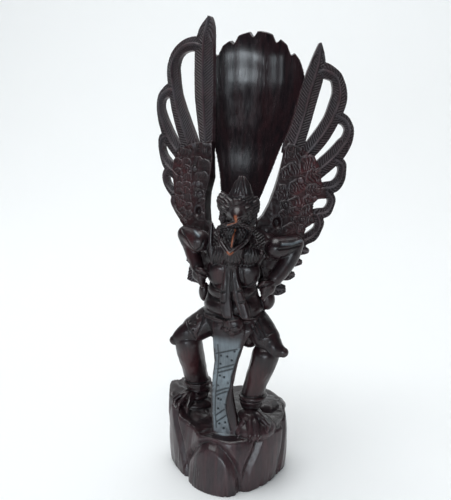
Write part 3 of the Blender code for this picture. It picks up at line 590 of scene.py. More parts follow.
def arm(bm, shoulder, elbow, forearm, wrist, hand):
    """Each joint is (x, y, z, radius), and the hand closes on the hip."""
    ball(bm, shoulder[:3], (shoulder[3],) * 3)
    limb(bm, shoulder, elbow)
    limb(bm, elbow, forearm, wrist)
    x, y, z = hand
    ball(bm, hand, (6.5, 6, 6.5))
    away = math.copysign(1, x)
    for k in range(4):
        limb(bm, (x + away * (3.5 - 0.6 * k), y - 1, z + 4 - 2.2 * k, 2.4),
             (x - away * (1 + 0.6 * k), y - 5.5, z + 1.5 - 2.8 * k, 2.1),
             (x - away * (6 - 0.9 * k), y - 3.5, z - 1.5 - 2.8 * k, 1.5))
    limb(bm, (x + away * 2, y - 2, z + 5, 2.4), (x - away * 3, y - 6, z + 5.5, 1.9),
         (x - away * 6.5, y - 5, z + 3, 1.4))


def leg(bm, trousers, thigh, shin):
    for stations in (trousers, thigh, shin):
        limb(bm, *stations)
    x, y, z, radius = shin[-1]
    ball(bm, (x, y, z + 1), (radius + 1, radius + 1, 3.5))


def foot(bm, heel, toes):
    """Bird foot: a low instep with claws spread before it."""
    x, y, z = heel
    ball(bm, heel, (11, 12, 6))
    for tip_x, tip_y, tip_z in toes:
        limb(bm, (x, y, z + 1, 4.2), ((x + tip_x) / 2, (y + tip_y) / 2, (z + tip_z) / 2 + 3.5, 3.4),
             (tip_x, tip_y, tip_z, 2.2))


def band(bm, rows, half, forward=0.0):
    """A thick strip of cloth through rows of (y, z, left, right), with half its thickness in metres."""
    rings = []
    for y, z, left, right in smooth(rows, 3):
        middle, reach = (left + right) / 2, (right - left) / 2
        rings.append([at(middle + reach * a, y + forward + 1.5 * abs(a), z) + Vector((0, b * half, 0))
                      for a, b in ((-1, -1), (-0.5, -1), (0.5, -1), (1, -1), (1, 1), (-1, 1))])
    loft(bm, rings)


def loincloth(bm):
    """The cloth that hangs from the belt to the base, with its side fold."""
    rows = ((-36, 154, -14, 13), (-43, 140, -14, 14), (-45, 126, -13.3, 12), (-45, 111, -12.3, 8.6),
            (-46.5, 100, -13.2, 6.4), (-49, 88, -13.8, 4), (-51, 76, -14, 1.5), (-52.5, 66, -13.2, 2),
            (-53.5, 56, -12.5, 4), (-55, 45, -11.9, 5))
    fold = ((-47, 95, 0, 4.5), (-49, 84, -1, 5), (-50, 76, -2, 6.3), (-51, 66, -1, 8.4), (-52, 56, 0, 10),
            (-53.5, 45, 1, 10))
    flare = ((-36, 150, 8, 24), (-42, 140, 8, 20), (-44, 128, 5, 14), (-44.5, 114, 2, 9.5))
    for rows, forward in ((rows, 0), (fold, -2), (flare, 0.5)):
        band(bm, rows, CLOTH_THICKNESS / 2, forward)


def petal_depth(angle, share):
    """How deep the carving lies at an angle in degrees and a share of the height."""
    around = math.radians(1) * BASE_RADIUS
    near = 1.0
    for line in BASE_GROOVES:
        for (a0, s0), (a1, s1) in zip(line, line[1:]):
            da, ds = (a1 - a0) * around, (s1 - s0) * BASE_HEIGHT
            for turn in (0, -360):
                ga, gs = (angle - a0 - turn) * around, (share - s0) * BASE_HEIGHT
                t = min(1.0, max(0.0, (ga * da + gs * ds) / (da * da + ds * ds)))
                near = min(near, math.hypot(ga - t * da, gs - t * ds))
    middle, half, low, high = FRONT_PETAL
    bulge = max(0.0, 1 - ((angle - middle) / half) ** 2 - max(0.0, (share - low) / (high - low)) ** 2)
    return PETAL_GROOVE_DEPTH * max(0.0, 1 - near / PETAL_GROOVE_WIDTH) - PETAL_BULGE * math.sqrt(bulge)


def base(bm):
    count, rows = 240, 40
    # The side is carried below the underside, where it is cut flat at the end
    shares = [-0.15] + [j / rows for j in range(rows + 1)]
    turns = [2 * math.pi * i / count - math.pi for i in range(count)]
    sides = [interpolate(BASE_SIDE, math.degrees(a)) for a in turns]

    def side_place(share, a, low, high, rim):
        bulge = 1 - 0.03 * abs(2 * share - 1) ** 3
        depth = petal_depth(math.degrees(a), max(share, 0.0))
        radius = BASE_RADIUS * (low + (high - low) * share) * bulge - depth
        return radius * math.cos(a), radius * math.sin(a), (BASE_HEIGHT + (rim - GROUND) * UNIT) * share

    def top_place(inset, rise, a, high, rim):
        radius = BASE_RADIUS * high * inset
        height = BASE_HEIGHT + ((rim - GROUND) * inset + rise + 6 * (1 - inset)) * UNIT
        return radius * math.cos(a), radius * math.sin(a), height

    rings = [[side_place(share, a, *side) for a, side in zip(turns, sides)] for share in shares]
    for inset, rise in ((0.93, 1.0), (0.75, 0.0), (0.4, 1.0)):
        rings.append([top_place(inset, rise, a, *side[1:]) for a, side in zip(turns, sides)])
    loft(bm, rings)
    # Rocks on the ground: under the left foot, the right foot, and behind
    ball(bm, (-38, -14, 57), (19, 18, 7), 20)
    ball(bm, (-42, 8, 56), (17, 15, 7), -10)
    ball(bm, (22, -42, 50), (20, 20, 10), -20)
    ball(bm, (28, -2, 53), (17, 18, 7), 15)
    ball(bm, (0, -12, 50), (26, 22, 6))


def belt(bm):
    ball(bm, (0, -25, 148), (27, 20, 4))
    ball(bm, (4, -44, 145), (9, 6, 9))
    # Ends of the waist cloth at the hips
    ball(bm, (-28.5, -13, 163), (5, 6, 9), 20)
    ball(bm, (29, -16, 160), (6.5, 7, 9), -20)
    # Two sash ends down the chest
    for rows in (SASH_LEFT, SASH_RIGHT):
        band(bm, rows, SASH_THICKNESS / 2)


def clean(bm):
    """Keeps the one outer shell and cuts its underside flat at z = 0."""
    bmesh.ops.triangulate(bm, faces=bm.faces)
    left = set(bm.verts)
    shells = []
    while left:
        stack = [left.pop()]
        shell = []
        while stack:
            vert = stack.pop()
            shell.append(vert)
            for edge in vert.link_edges:
                other = edge.other_vert(vert)
                if other in left:
                    left.remove(other)
                    stack.append(other)
        shells.append(shell)
    shells.sort(key=len)
    for shell in shells[:-1]:
        bmesh.ops.delete(bm, geom=shell, context="VERTS")
    cut = bmesh.ops.bisect_plane(bm, geom=bm.verts[:] + bm.edges[:] + bm.faces[:], plane_co=(0, 0, 0),
                                 plane_no=(0, 0, 1), clear_inner=True)
    edges = [e for e in cut["geom_cut"] if isinstance(e, bmesh.types.BMEdge)]
    bmesh.ops.contextual_create(bm, geom=edges)
    bmesh.ops.recalc_face_normals(bm, faces=bm.faces)


def details(bm):
    """Small forms that the CAD solid leaves out: eyes, beads, neck band, anklets and claws."""
    for x, z in EYES:
        ball(bm, (x, -39.5, z), (4.6, 4.2, 4.6))
    for x, y, z in BEADS:
        ball(bm, (x, y, z), (2.1, 2.1, 2.1))
    limb(bm, *NECK_BAND)
    for x, y, z in ANKLES:
        turns = (2 * math.pi * k / 12 for k in range(13))
        limb(bm, *((x + 11 * math.cos(a), y + 11 * math.sin(a), z, 1.9) for a in turns))
    for x, y, z in CLAWS:
        limb(bm, (x, y + 3, z + 1, 1.9), (x, y - 1, z + 0.6, 1.5), (x, y - 3.5, z - 2, 0.8))


def figure(bm):
    """The figure, its clothes and the ground under it."""
    base(bm)
    torso(bm)
    head(bm)
    belt(bm)
    arm(bm, shoulder=(-31, -22, 212, 10), elbow=(-44.5, -13, 215, 7.8), forearm=(-38.5, -18, 203, 7),
        wrist=(-32, -25, 190, 6), hand=(-29, -29, 184))
    arm(bm, shoulder=(37, -24, 210, 9.5), elbow=(52, -15, 212, 7.5), forearm=(47, -19, 198, 7.5),
        wrist=(37, -27, 184, 6.5), hand=(32, -32, 177))
    leg(bm, ((-12, -18, 143, 14.5), (-23, -22, 138.5, 13.5), (-34, -27, 132.5, 12)),
        ((-34, -27, 132, 11), (-43, -31, 127.5, 9), (-51.5, -33, 122.5, 4.5)),
        ((-39.5, -29, 120, 12), (-38.8, -26, 110, 12.2), (-37, -20, 94, 11), (-34.5, -13, 70, 10.5)))
    leg(bm, ((13, -20, 146, 13.5), (22, -26, 140, 12.5), (31, -32, 131, 12)),
        ((31, -32, 130, 11), (39.5, -37, 124, 8.5), (47, -39, 121.5, 4.5)),
        ((31, -36, 116, 12), (28.5, -36.5, 107, 11.5), (23.2, -35.5, 92, 10.3), (18.3, -34, 72, 10.3)))
    limb(bm, (-14, -22, 133, 10), (15, -24, 128.5, 10.5))
    foot(bm, (-36, -17, 65), ((-54, -28, 62), (-48, -34, 61), (-39, -38, 60)))
    foot(bm, (19, -42, 62), ((12, -56, 52), (23, -62, 51), (30, -60, 51), (36, -50, 57)))
    loincloth(bm)
    details(bm)


def wing(bm, side):
    feathers, outline = WINGS[side][:2]
    for spine in feathers:
        feather(bm, side, spine)
    coverts(bm, side, outline)


def camera():
    data = bpy.data.cameras.new("photo camera")
    data.sensor_width = SENSOR
    data.lens = FOCAL_PIXELS * SENSOR / LONG_SIDE_PIXELS
    data.clip_start = 0.01
    seen = placed("photo camera", data)
    turn = Matrix((CAMERA_RIGHT, CAMERA_UP, -CAMERA_FORWARD)).transposed()
    seen.matrix_world = Matrix.Translation(CAMERA_PLACE) @ turn.to_4x4()
    bpy.context.scene.camera = seen


# Carving, cut along the surface's own normals


def ramp(x, low, high):
    """0 below low, 1 above high, and a soft step between them."""
    t = np.clip((x - low) / (high - low), 0, 1)
    return t * t * (3 - 2 * t)


def groove(distance, half_width):
    """A V cut: 1 in its middle and 0 from half_width on."""
    return np.clip(1 - np.abs(distance) / half_width, 0, 1)


def wave(phase):
    """A row of V cuts, one for each whole number of the phase."""
    return np.clip(1 - 2.2 * np.abs(phase - np.round(phase)), 0, 1)


def hashed(i, j, k, seed):
    """A repeatable value from 0 to 1 for each whole-numbered cell."""
    n = (i * 374761393 + j * 668265263 + k * 2147483647 + seed * 1274126177) & 0xFFFFFFFF
    n = ((n ^ (n >> 13)) * 1274126177) & 0xFFFFFFFF
    return ((n ^ (n >> 16)) & 0xFFFF) / 65535.0


def value_noise(p, seed):
    """Smooth noise from -1 to 1 at places given in cells."""
    cell = np.floor(p).astype(np.int64)
    f = p - cell
    f = f * f * (3 - 2 * f)
    total = np.zeros(len(p))
    for dx in (0, 1):
        for dy in (0, 1):
            for dz in (0, 1):
                weight = ((f[:, 0] if dx else 1 - f[:, 0]) * (f[:, 1] if dy else 1 - f[:, 1])
                          * (f[:, 2] if dz else 1 - f[:, 2]))
                total += weight * hashed(cell[:, 0] + dx, cell[:, 1] + dy, cell[:, 2] + dz, seed)
    return 2 * total - 1


def noise_over(a, b, c, seed):
    return value_noise(np.column_stack((a, b, c)), seed)


def line_distance(a, b, line):
    """Distance from places (a, b) to a line through several points."""
    near = np.full(len(a), 1e9)
    for (a0, b0), (a1, b1) in zip(line, line[1:]):
        da, db = a1 - a0, b1 - b0
        t = np.clip(((a - a0) * da + (b - b0) * db) / (da * da + db * db), 0, 1)
        near = np.minimum(near, np.hypot(a - a0 - t * da, b - b0 - t * db))
    return near


def within(outline, u, v):
    """Which places lie within an outline."""
    hits = np.zeros(len(u), dtype=np.int64)
    for (u0, v0), (u1, v1) in zip(outline, outline[1:] + outline[:1]):
        if v0 != v1:
            hits += ((v0 > v) != (v1 > v)) & (u < u0 + (v - v0) * (u1 - u0) / (v1 - v0))
    return hits % 2 == 1


def points_and_normals(mesh):
    """A mesh's points and their normals, one in a row."""
    flat = np.empty(3 * len(mesh.vertices), dtype=np.float32)
    mesh.vertices.foreach_get("co", flat)
    points = flat.reshape(-1, 3).astype(float)
    mesh.vertex_normals.foreach_get("vector", flat)
    return points, flat.reshape(-1, 3).astype(float)


def store(mesh, name, values):
    """Keeps a value from 0 to 1 at each point, for the material to read."""
    attribute = mesh.attributes.new(name, "FLOAT", "POINT")
    attribute.data.foreach_set("value", np.clip(values, 0, 1).astype(np.float32))


class Surface:
    """The skin's points and normals, in metres and in the figure's units, with its carving."""

    def __init__(self, mesh):
        self.p, self.n = points_and_normals(mesh)
        shift_x, shift_y = FIGURE_SHIFT
        self.x = (self.p[:, 0] - shift_x) / UNIT
        self.y = (self.p[:, 1] - shift_y) / UNIT
        self.z = (self.p[:, 2] - BASE_HEIGHT) / UNIT + GROUND
        self.cut = np.zeros(len(self.p))
        for name in LAYERS:
            setattr(self, name, np.zeros(len(self.p)))
        self.front = ramp(-self.n[:, 1], 0.1, 0.45)

    def engrave(self, mask, depth):
        """Cuts where the mask is, and paints shade into the cut."""
        mask = np.clip(mask, 0, 1)
        self.cut += depth * mask
        self.tint("dark", mask)

    def tint(self, name, values, part=slice(None)):
        """Raises one of the layers to these values where they are higher."""
        layer = getattr(self, name)
        layer[part] = np.maximum(layer[part], values)

    def facing_front(self, y_range):
        """Where the surface faces the front, within a range of y."""
        low, high = y_range
        return self.front * ((self.y > low) & (self.y < high))

    def wing(self, side):
        """Out, up and lift on a wing, all in units."""
        root, out, up, front = (np.array(vector) for vector in wing_frame(side))
        q = self.p - root
        return q @ out / UNIT, q @ up / UNIT, q @ front / UNIT, self.n @ front


def feather_field(u, v, spines):
    """For places on a wing: the nearest feather, its half width, and the way off and along its middle."""
    best = np.full(len(u), 1e9)
    half, off, along, which = (np.zeros(len(u)) for _ in range(4))
    for index, spine in enumerate(spines):
        points = smooth(spine, 5)
        length = 0.0
        for (u0, v0, w0), (u1, v1, w1) in zip(points, points[1:]):
            du, dv = u1 - u0, v1 - v0
            step = math.hypot(du, dv)
            t = np.clip(((u - u0) * du + (v - v0) * dv) / (step * step), 0, 1)
            gap = np.hypot(u - u0 - t * du, v - v0 - t * dv)
            h = (w0 + t * (w1 - w0)) / 2
            ratio = gap / h
            near = ratio < best
            best = np.where(near, ratio, best)
            half = np.where(near, h, half)
            off = np.where(near, gap, off)
            along = np.where(near, length + t * step, along)
            which = np.where(near, index, which)
            length += step
    return best, half, off, along, which


def carve_feathers(s, side, spines, outline):
    """Barbs that rise outward from a raised rachis, cut on both faces of each feather."""
    u, v, lift, facing = s.wing(side)
    part = np.nonzero((u > 8) & (u < 95) & (v > -62) & (v < 190) & (np.abs(lift) < 7.5))[0]
    u, v, facing = u[part], v[part], facing[part]
    best, half, off, along, which = feather_field(u, v, spines)
    free = (best < FEATHER_REACH) & ~within(outline, u, v)
    barbed = free & (half > BARBED_FROM)
    front = free & (facing > 0.3)
    phase = (along - BARB_SLANT * off) / BARB_PITCH + BARB_STAGGER * which
    barb = wave(phase) * ramp(off, 1.2, 1.8)
    beside = off - RACHIS_EDGE
    face = ramp(np.abs(facing), 0.45, 0.75) * np.where(facing > 0, 1.0, 0.7)
    cut = barbed * BARB_DEPTH * barb + free * (0.25 * groove(beside, 0.8) - 0.30 * groove(off, 1.1))
    s.cut[part] += cut * face
    # Painted shade in the barb cuts and beside the rachis
    s.tint("dark", np.where(barbed, barb, 0.5 * groove(beside, 0.7)) * free * face, part)
    tone = 0.5 + 0.5 * noise_over(u / 9, v / 22, which, 41)
    s.tint("red", front * groove(off, 2.2) * (0.3 + 0.7 * tone), part)
    s.tint("red", free * (0.25 + 0.35 * tone), part)
    # Painted highlights along the rachis and on the ridges between the barbs
    s.tint("pale", front * 0.35 * groove(off, 1.1) * (1 - tone), part)
    s.tint("pale", free * 0.26 * (1 - 0.6 * tone) * (1 - barb), part)


def carve_coverts(s, side, outline, scales, curls, recess):
    """Overlapping scales with a painted highlight on each lip, two or three curls, and a round recess."""
    u, v, lift, facing = s.wing(side)
    near = (u > -12) & (u < 70) & (v > -62) & (v < 90) & (lift > 0.5) & (lift < 12)
    part = np.nonzero(near & (facing > 0.25))[0]
    u, v, facing = u[part], v[part], facing[part]
    inner = within(outline, u, v)
    height, lip, lines, owner = (np.zeros(len(u)) for _ in range(4))
    rough = noise_over(u / 3.4, v / 3.0, 0 * u, 7)
    for k, (cu, cv, hu, hv) in enumerate(scales):
        tilt = SCALE_TILTS[k % len(SCALE_TILTS)]
        a = ((u - cu) * math.cos(tilt) + (v - cv) * math.sin(tilt)) / (hu * 1.10) + 0.16 * rough
        b = ((v - cv) * math.cos(tilt) - (u - cu) * math.sin(tilt)) / (hv * 1.15) + 0.20 * rough
        b = b + 0.22 * a * a
        size = (np.abs(a) ** 4 + np.abs(b) ** 4) ** 0.25
        body = SCALE_RISE * (0.25 + 0.75 * (b + 1) / 2) * ramp(-size, -1.0, -0.84)
        edge = groove(size - 0.86, 0.16) * ramp(b, 0.1, 0.6)
        body = body + 0.35 * edge
        near = body > height
        height = np.where(near, body, height)
        lip = np.where(near, edge, lip)
        cuts = wave(a * hu / 2.7 + 0.35 * b + 0.3 * rough) * ramp(b, -1.0, -0.1) * ramp(-size, -0.86, -0.7)
        lines = np.where(near, cuts, lines)
        owner = np.where(near, k + 1, owner)
    fill = noise_over(u / 2.6, v / 2.2, 0 * u, 5)
    height = np.where(owner > 0, height, 0.28 + 0.30 * fill)
    for cu, cv, radius in curls:
        r = np.hypot(u - cu, v - cv) / radius
        bump = CURL_RISE * ramp(-r, -1.15, -0.2) - 0.5 * groove(r - 1.15, 0.35)
        height = np.maximum(height, 0) * ramp(r, 0.7, 1.4) + bump
        lip = np.maximum(lip, ramp(-r, -1.0, -0.3))
        lines = lines * ramp(r, 1.0, 1.5)
    for cu, cv, ru, rv in recess:
        r = np.hypot((u - cu) / ru, (v - cv) / rv)
        rim = 0.9 * groove(r - 1.3, 0.35)
        height = height * ramp(r, 0.9, 1.6) - RECESS_DEPTH * ramp(-r, -1.0, -0.45) + rim
        lip = np.maximum(lip, groove(r - 1.3, 0.3) * ramp(v - cv, -1, 3))
        lines = lines * ramp(r, 1.2, 1.6)
    height = height - SCALE_LINE_DEPTH * lines
    face = ramp(facing, 0.35, 0.8) * inner
    s.cut[part] -= height * face
    tone = hashed(np.arange(len(scales) + 1), side, 3, 9)[owner.astype(int)]
    outer = ramp(u - 0.25 * v, 16, 26) if side > 0 else ramp(u - 0.2 * v, 18, 26)
    red = (0.25 + 0.75 * tone) * (0.25 + 0.75 * outer) * (1 - 0.6 * lines)
    s.tint("red", red * face, part)
    # Painted highlight on the scales' lips
    s.tint("pale", 0.28 * lip * face * (0.3 + 0.7 * tone), part)
    # Painted shade in the scale lines and in the gaps between scales
    s.tint("dark", lines * face * 0.7, part)
    s.tint("dark", (owner == 0) * inner * face * 0.5, part)


def carve_lines(s, lines, depth, half_width, y_range, mark=None):
    """Cuts lines given by (x, z) places, on surfaces that face the front within a range of y."""
    here = s.facing_front(y_range)
    for line in lines:
        g = groove(line_distance(s.x, s.z, line), half_width) * here
        s.cut += depth * g
        # Painted shade in each cut
        if depth > 0:
            s.tint("dark", np.clip(1.6 * g, 0, 1))
        if mark:
            s.tint(mark, g)


def carve_dots(s, dots, depth, radius, y_range):
    here = s.facing_front(y_range)
    for x, z in dots:
        hole = ramp(-np.hypot(s.x - x, s.z - z), -radius, -0.3 * radius) * here
        s.cut += depth * hole
        # Painted shade in each dot
        s.tint("dark", hole)


def carve_cloth(s):
    """Border, slanting bars and dots on the long cloth, which is paler than the rest: partly rubbed, partly a
    painted sheen.
    """
    z = s.z
    left = np.interp(z, *zip(*CLOTH_LEFT))
    right = np.interp(z, *zip(*CLOTH_RIGHT))
    here = (s.y < -38) & (z > 46.5) & (z < 136) & (s.n[:, 1] < -0.1)
    panel = here & (s.x > left) & (s.x < right) & (s.y > -62)
    low_end = np.interp(s.x, *zip(*CLOTH_BOTTOM))
    panel = panel & (z > low_end - 1)
    # Painted sheen on the front of the cloth, partly a rubbed paler tone, fading out toward the belt
    s.tint("pale", panel * ramp(136 - z, 0, 8))
    carve_lines(s, CLOTH_BARS, 0.75, 1.0, CLOTH_REACH)
    carve_lines(s, [[(x, z) for z, x in CLOTH_BORDER]], 0.65, 0.9, CLOTH_REACH)
    carve_lines(s, [[(x + 0.4, z) for z, x in CLOTH_RIGHT]], 0.9, 1.1, CLOTH_REACH)
    carve_dots(s, CLOTH_DOTS, 1.3, 1.35, CLOTH_REACH)


def carve_face(s):
    """Eye rings, hatched crest, cheeks and beard, and lines along the beak."""
    x, y, z = s.x, s.y, s.z
    for cx, cz in EYES:
        r = np.hypot(x - cx, (z - cz) * 1.05)
        here = s.front * ramp(-r, -7.2, -6.2)
        around_eye = np.arctan2(z - cz, x - cx) / (2 * math.pi)
        s.engrave(here * (y < -34) * wave(r / 2.6 + around_eye), 0.9)
    around = np.arctan2(y + 27, x - 6)
    crown = ramp(z, 256, 259) * (y < -12) * (y > -48) * (np.abs(x - 7) < 16)
    s.engrave(crown * wave((x - 8) / 2.5 + 0.09 * (z - 256) * np.sign(x - 8)), 0.8)
    brow = ramp(z, 243, 245) * ramp(-z, -257, -255) * (y < -20) * (y > -48) * (np.abs(x - 5) < 20)
    s.engrave(brow * wave((z - 0.5 * np.abs(x - 5)) / 3.1 + 0.25 * value_noise(s.p / 0.004, 51)), 0.7)
    beard = ramp(-z, -213, -210) * ramp(z, 194, 197) * (y < -30) * (np.abs(x - 3) < 21)
    s.engrave(beard * wave(x / 2.6 + np.sin(z / 2.0 + 0.4 * x) * 0.25), 0.75)
    cheek = (z > 212) * (z < 248) * (y < -20) * ((x < -8) | (x > 18)) * (np.abs(x - 5) < 22)
    s.engrave(cheek * wave(z / 2.7 - np.abs(x - 5) * 0.22), 0.6)
    mouth = (z > 214) * (z < 235) * (y > -51.5) * (y < -36) * (np.abs(x - 5) < 12) * s.front
    s.engrave(mouth * np.maximum(wave((x + 0.5 * z) / 2.6), wave((x - 0.5 * z) / 2.6)), 0.8)
    nape = (z > 205) * (z < 262) * (y > -22) * (y < -2) * (np.abs(x - 4) < 24) * ramp(s.n[:, 1], -0.3, 0.2)
    s.engrave(nape * wave(around * 9 + 0.05 * z), 0.5)
    for line, wide in RAW_LINES:
        near = groove(line_distance(x, z, line), wide) * s.front * (y < -44)
        s.tint("raw", np.clip(near * 1.8, 0, 1))


def carve_body(s):
    """Belly folds, the sashes' edges, pendant, bands on the arms, and the trousers' hems."""
    for lines, depth, half_width, y_range in BODY_CUTS:
        carve_lines(s, lines, depth, half_width, y_range)
    px, pz = PENDANT
    r = np.hypot(s.x - px, s.z - pz)
    turn = np.arctan2(s.z - pz, s.x - px)
    petal = np.abs(np.cos(2 * turn - 0.4))
    here = s.front * (s.y < -44) * ramp(-r, -9.5, -8.5)
    s.cut -= here * (0.9 * petal * ramp(-r, -9 * petal - 0.5, -9 * petal + 1.5) - 0.6 * groove(r - 2.4, 0.9))
    s.cut += 1.0 * s.front * (s.y < -44) * ramp(-r, -1.3, -0.4)
    # Painted highlight along the raised bands on the arms
    carve_lines(s, ARM_RIDGES, -0.7, 1.3, (-45, -5), "pale")
    carve_dots(s, HEM_DOTS, 1.2, 1.3, (-60, -20))
    for x, y, z, reach in RUBBED_PLACES:
        near = ramp(-np.sqrt((s.x - x) ** 2 + (s.y - y) ** 2 + ((s.z - z) * 0.6) ** 2), -reach, -0.5 * reach)
        s.tint("red", 0.45 * near * s.front)
    # Anklets: two rings cut round each leg
    for x, y, z in ANKLES:
        near = (np.hypot(s.x - x, s.y - y) < 17) * ramp(np.abs(s.n[:, 2]), -0.7, -0.5)
        for rise in (-2.2, 2.2):
            s.cut += 0.8 * near * groove(s.z - z - rise, 0.9)


def carve_base(s):
    """Upright gouge marks round the side and chopped facets on the ground."""
    radius = np.hypot(s.p[:, 0], s.p[:, 1])
    angle = np.arctan2(s.p[:, 1], s.p[:, 0])
    low = ramp(-s.z, -66, -50)
    side = low * ramp(np.hypot(s.n[:, 0], s.n[:, 1]), 0.5, 0.85) * (radius > 0.034)
    around = angle * BASE_RADIUS / UNIT
    flutes = noise_over(around / 2.6, s.z / 26, 0 * s.z, 11)
    fine = noise_over(around / 1.1, s.z / 18, 0 * s.z, 12)
    deep = 0.35 + 0.65 * ramp(-s.z, -32, -6)
    s.cut += side * deep * (0.42 * np.abs(flutes) + 0.16 * fine)
    s.cut += side * 0.9 * ramp(-s.z, -20, 0) * ramp(flutes, 0.35, 0.75)
    top = ramp(-s.z, -76, -70) * ramp(s.z, 40, 46) * ramp(s.n[:, 2], 0.2, 0.6) * (radius < 0.062)
    chips = noise_over(s.x / 6, s.y / 6, s.z / 5, 13)
    s.cut += top * 0.7 * np.abs(chips)
    s.tint("red", side * 0.8 * (0.6 + 0.4 * flutes))
    # Painted sheen on the base's side
    s.tint("pale", side * 0.10)


def carve_tail(s):
    """Long flat cuts down the fan's front, and its barbed back."""
    here = (s.z > 262) * (s.y > 22) * (s.y < 66) * (np.abs(s.x - 3) < 52)
    marks = noise_over(s.x / 5.5, 0 * s.y, s.z / 60, 21)
    s.cut += here * ramp(-s.n[:, 1], 0.2, 0.5) * 0.05 * marks
    s.polish[:] = (s.z > 196) * ramp(-s.n[:, 1], 0.2, 0.5)
    x, z, half_width, half_height, depth = TAIL_DISH
    inside = np.clip(1 - ((s.x - x) / half_width) ** 2 - ((s.z - z) / half_height) ** 2, 0, 1)
    s.cut += depth * inside ** 2 * s.polish
    behind = here * ramp(s.n[:, 1], 0.4, 0.7)
    share = (s.x - 3) / (0.37 * (s.z - 180) + 1)
    s.cut += behind * 0.35 * wave((s.z - 7 * np.abs(share * 4 - np.round(share * 4))) / 4.5)


def tool_marks(s):
    """The small unevenness that a knife leaves everywhere."""
    coarse = value_noise(s.p / (KNIFE_CELL * UNIT), 31)
    tail_front = (s.z > 200) * (s.y > 5) * (s.y < 60) * (np.abs(s.x - 3) < 46) * ramp(-s.n[:, 1], 0.2, 0.5)
    limbs = (s.z < 206) * (s.z > 62) * (s.y > -45)
    s.cut += (KNIFE_DEPTH + LIMB_KNIFE_DEPTH * limbs) * coarse * (1 - 0.9 * tail_front)


def carve(mesh, cuts):
    s = Surface(mesh)
    for cut in cuts:
        cut(s)
    tool_marks(s)
    moved = s.p - s.n * (s.cut * UNIT)[:, None]
    mesh.vertices.foreach_set("co", moved.astype(np.float32).ravel())
    mesh.update()
    for name in LAYERS:
        store(mesh, name, getattr(s, name))


def relief_mask(mesh):
    """Stores how far each point stands out of its surroundings, from 0 in a hollow to 1 on an edge."""
    count = len(mesh.vertices)
    p, n = points_and_normals(mesh)
    pairs = np.empty(2 * len(mesh.edges), dtype=np.int32)
    mesh.edges.foreach_get("vertices", pairs)
    a, b = pairs.reshape(-1, 2).T
    degree = np.maximum(np.bincount(a, minlength=count) + np.bincount(b, minlength=count), 1)

    def spread(values):
        return (np.bincount(a, values[b], count) + np.bincount(b, values[a], count)) / degree

    mean = np.column_stack([spread(p[:, k]) for k in range(3)])
    length = np.linalg.norm(p[a] - p[b], axis=1)
    reach = (np.bincount(a, length, count) + np.bincount(b, length, count)) / degree
    bend = np.einsum("ij,ij->i", p - mean, n) / np.maximum(reach, 1e-6)
    for _ in range(2):
        bend = 0.5 * bend + 0.5 * spread(bend)
    store(mesh, "relief", 0.5 + 2.2 * bend)


def new_material(name):
    """A material, a function that adds a node to it, and one that fills its shader's inputs."""
    material = bpy.data.materials.new(name)
    material.use_nodes = True
    tree = material.node_tree

    def fill(made, inputs):
        for key, value in inputs.items():
            if isinstance(value, bpy.types.NodeSocket):
                tree.links.new(value, made.inputs[key])
            else:
                made.inputs[key].default_value = value

    def node(kind, inputs=None, **settings):
        made = tree.nodes.new(kind)
        for key, value in settings.items():
            setattr(made, key, value)
        fill(made, inputs or {})
        return made

    return material, node, partial(fill, tree.nodes["Principled BSDF"])


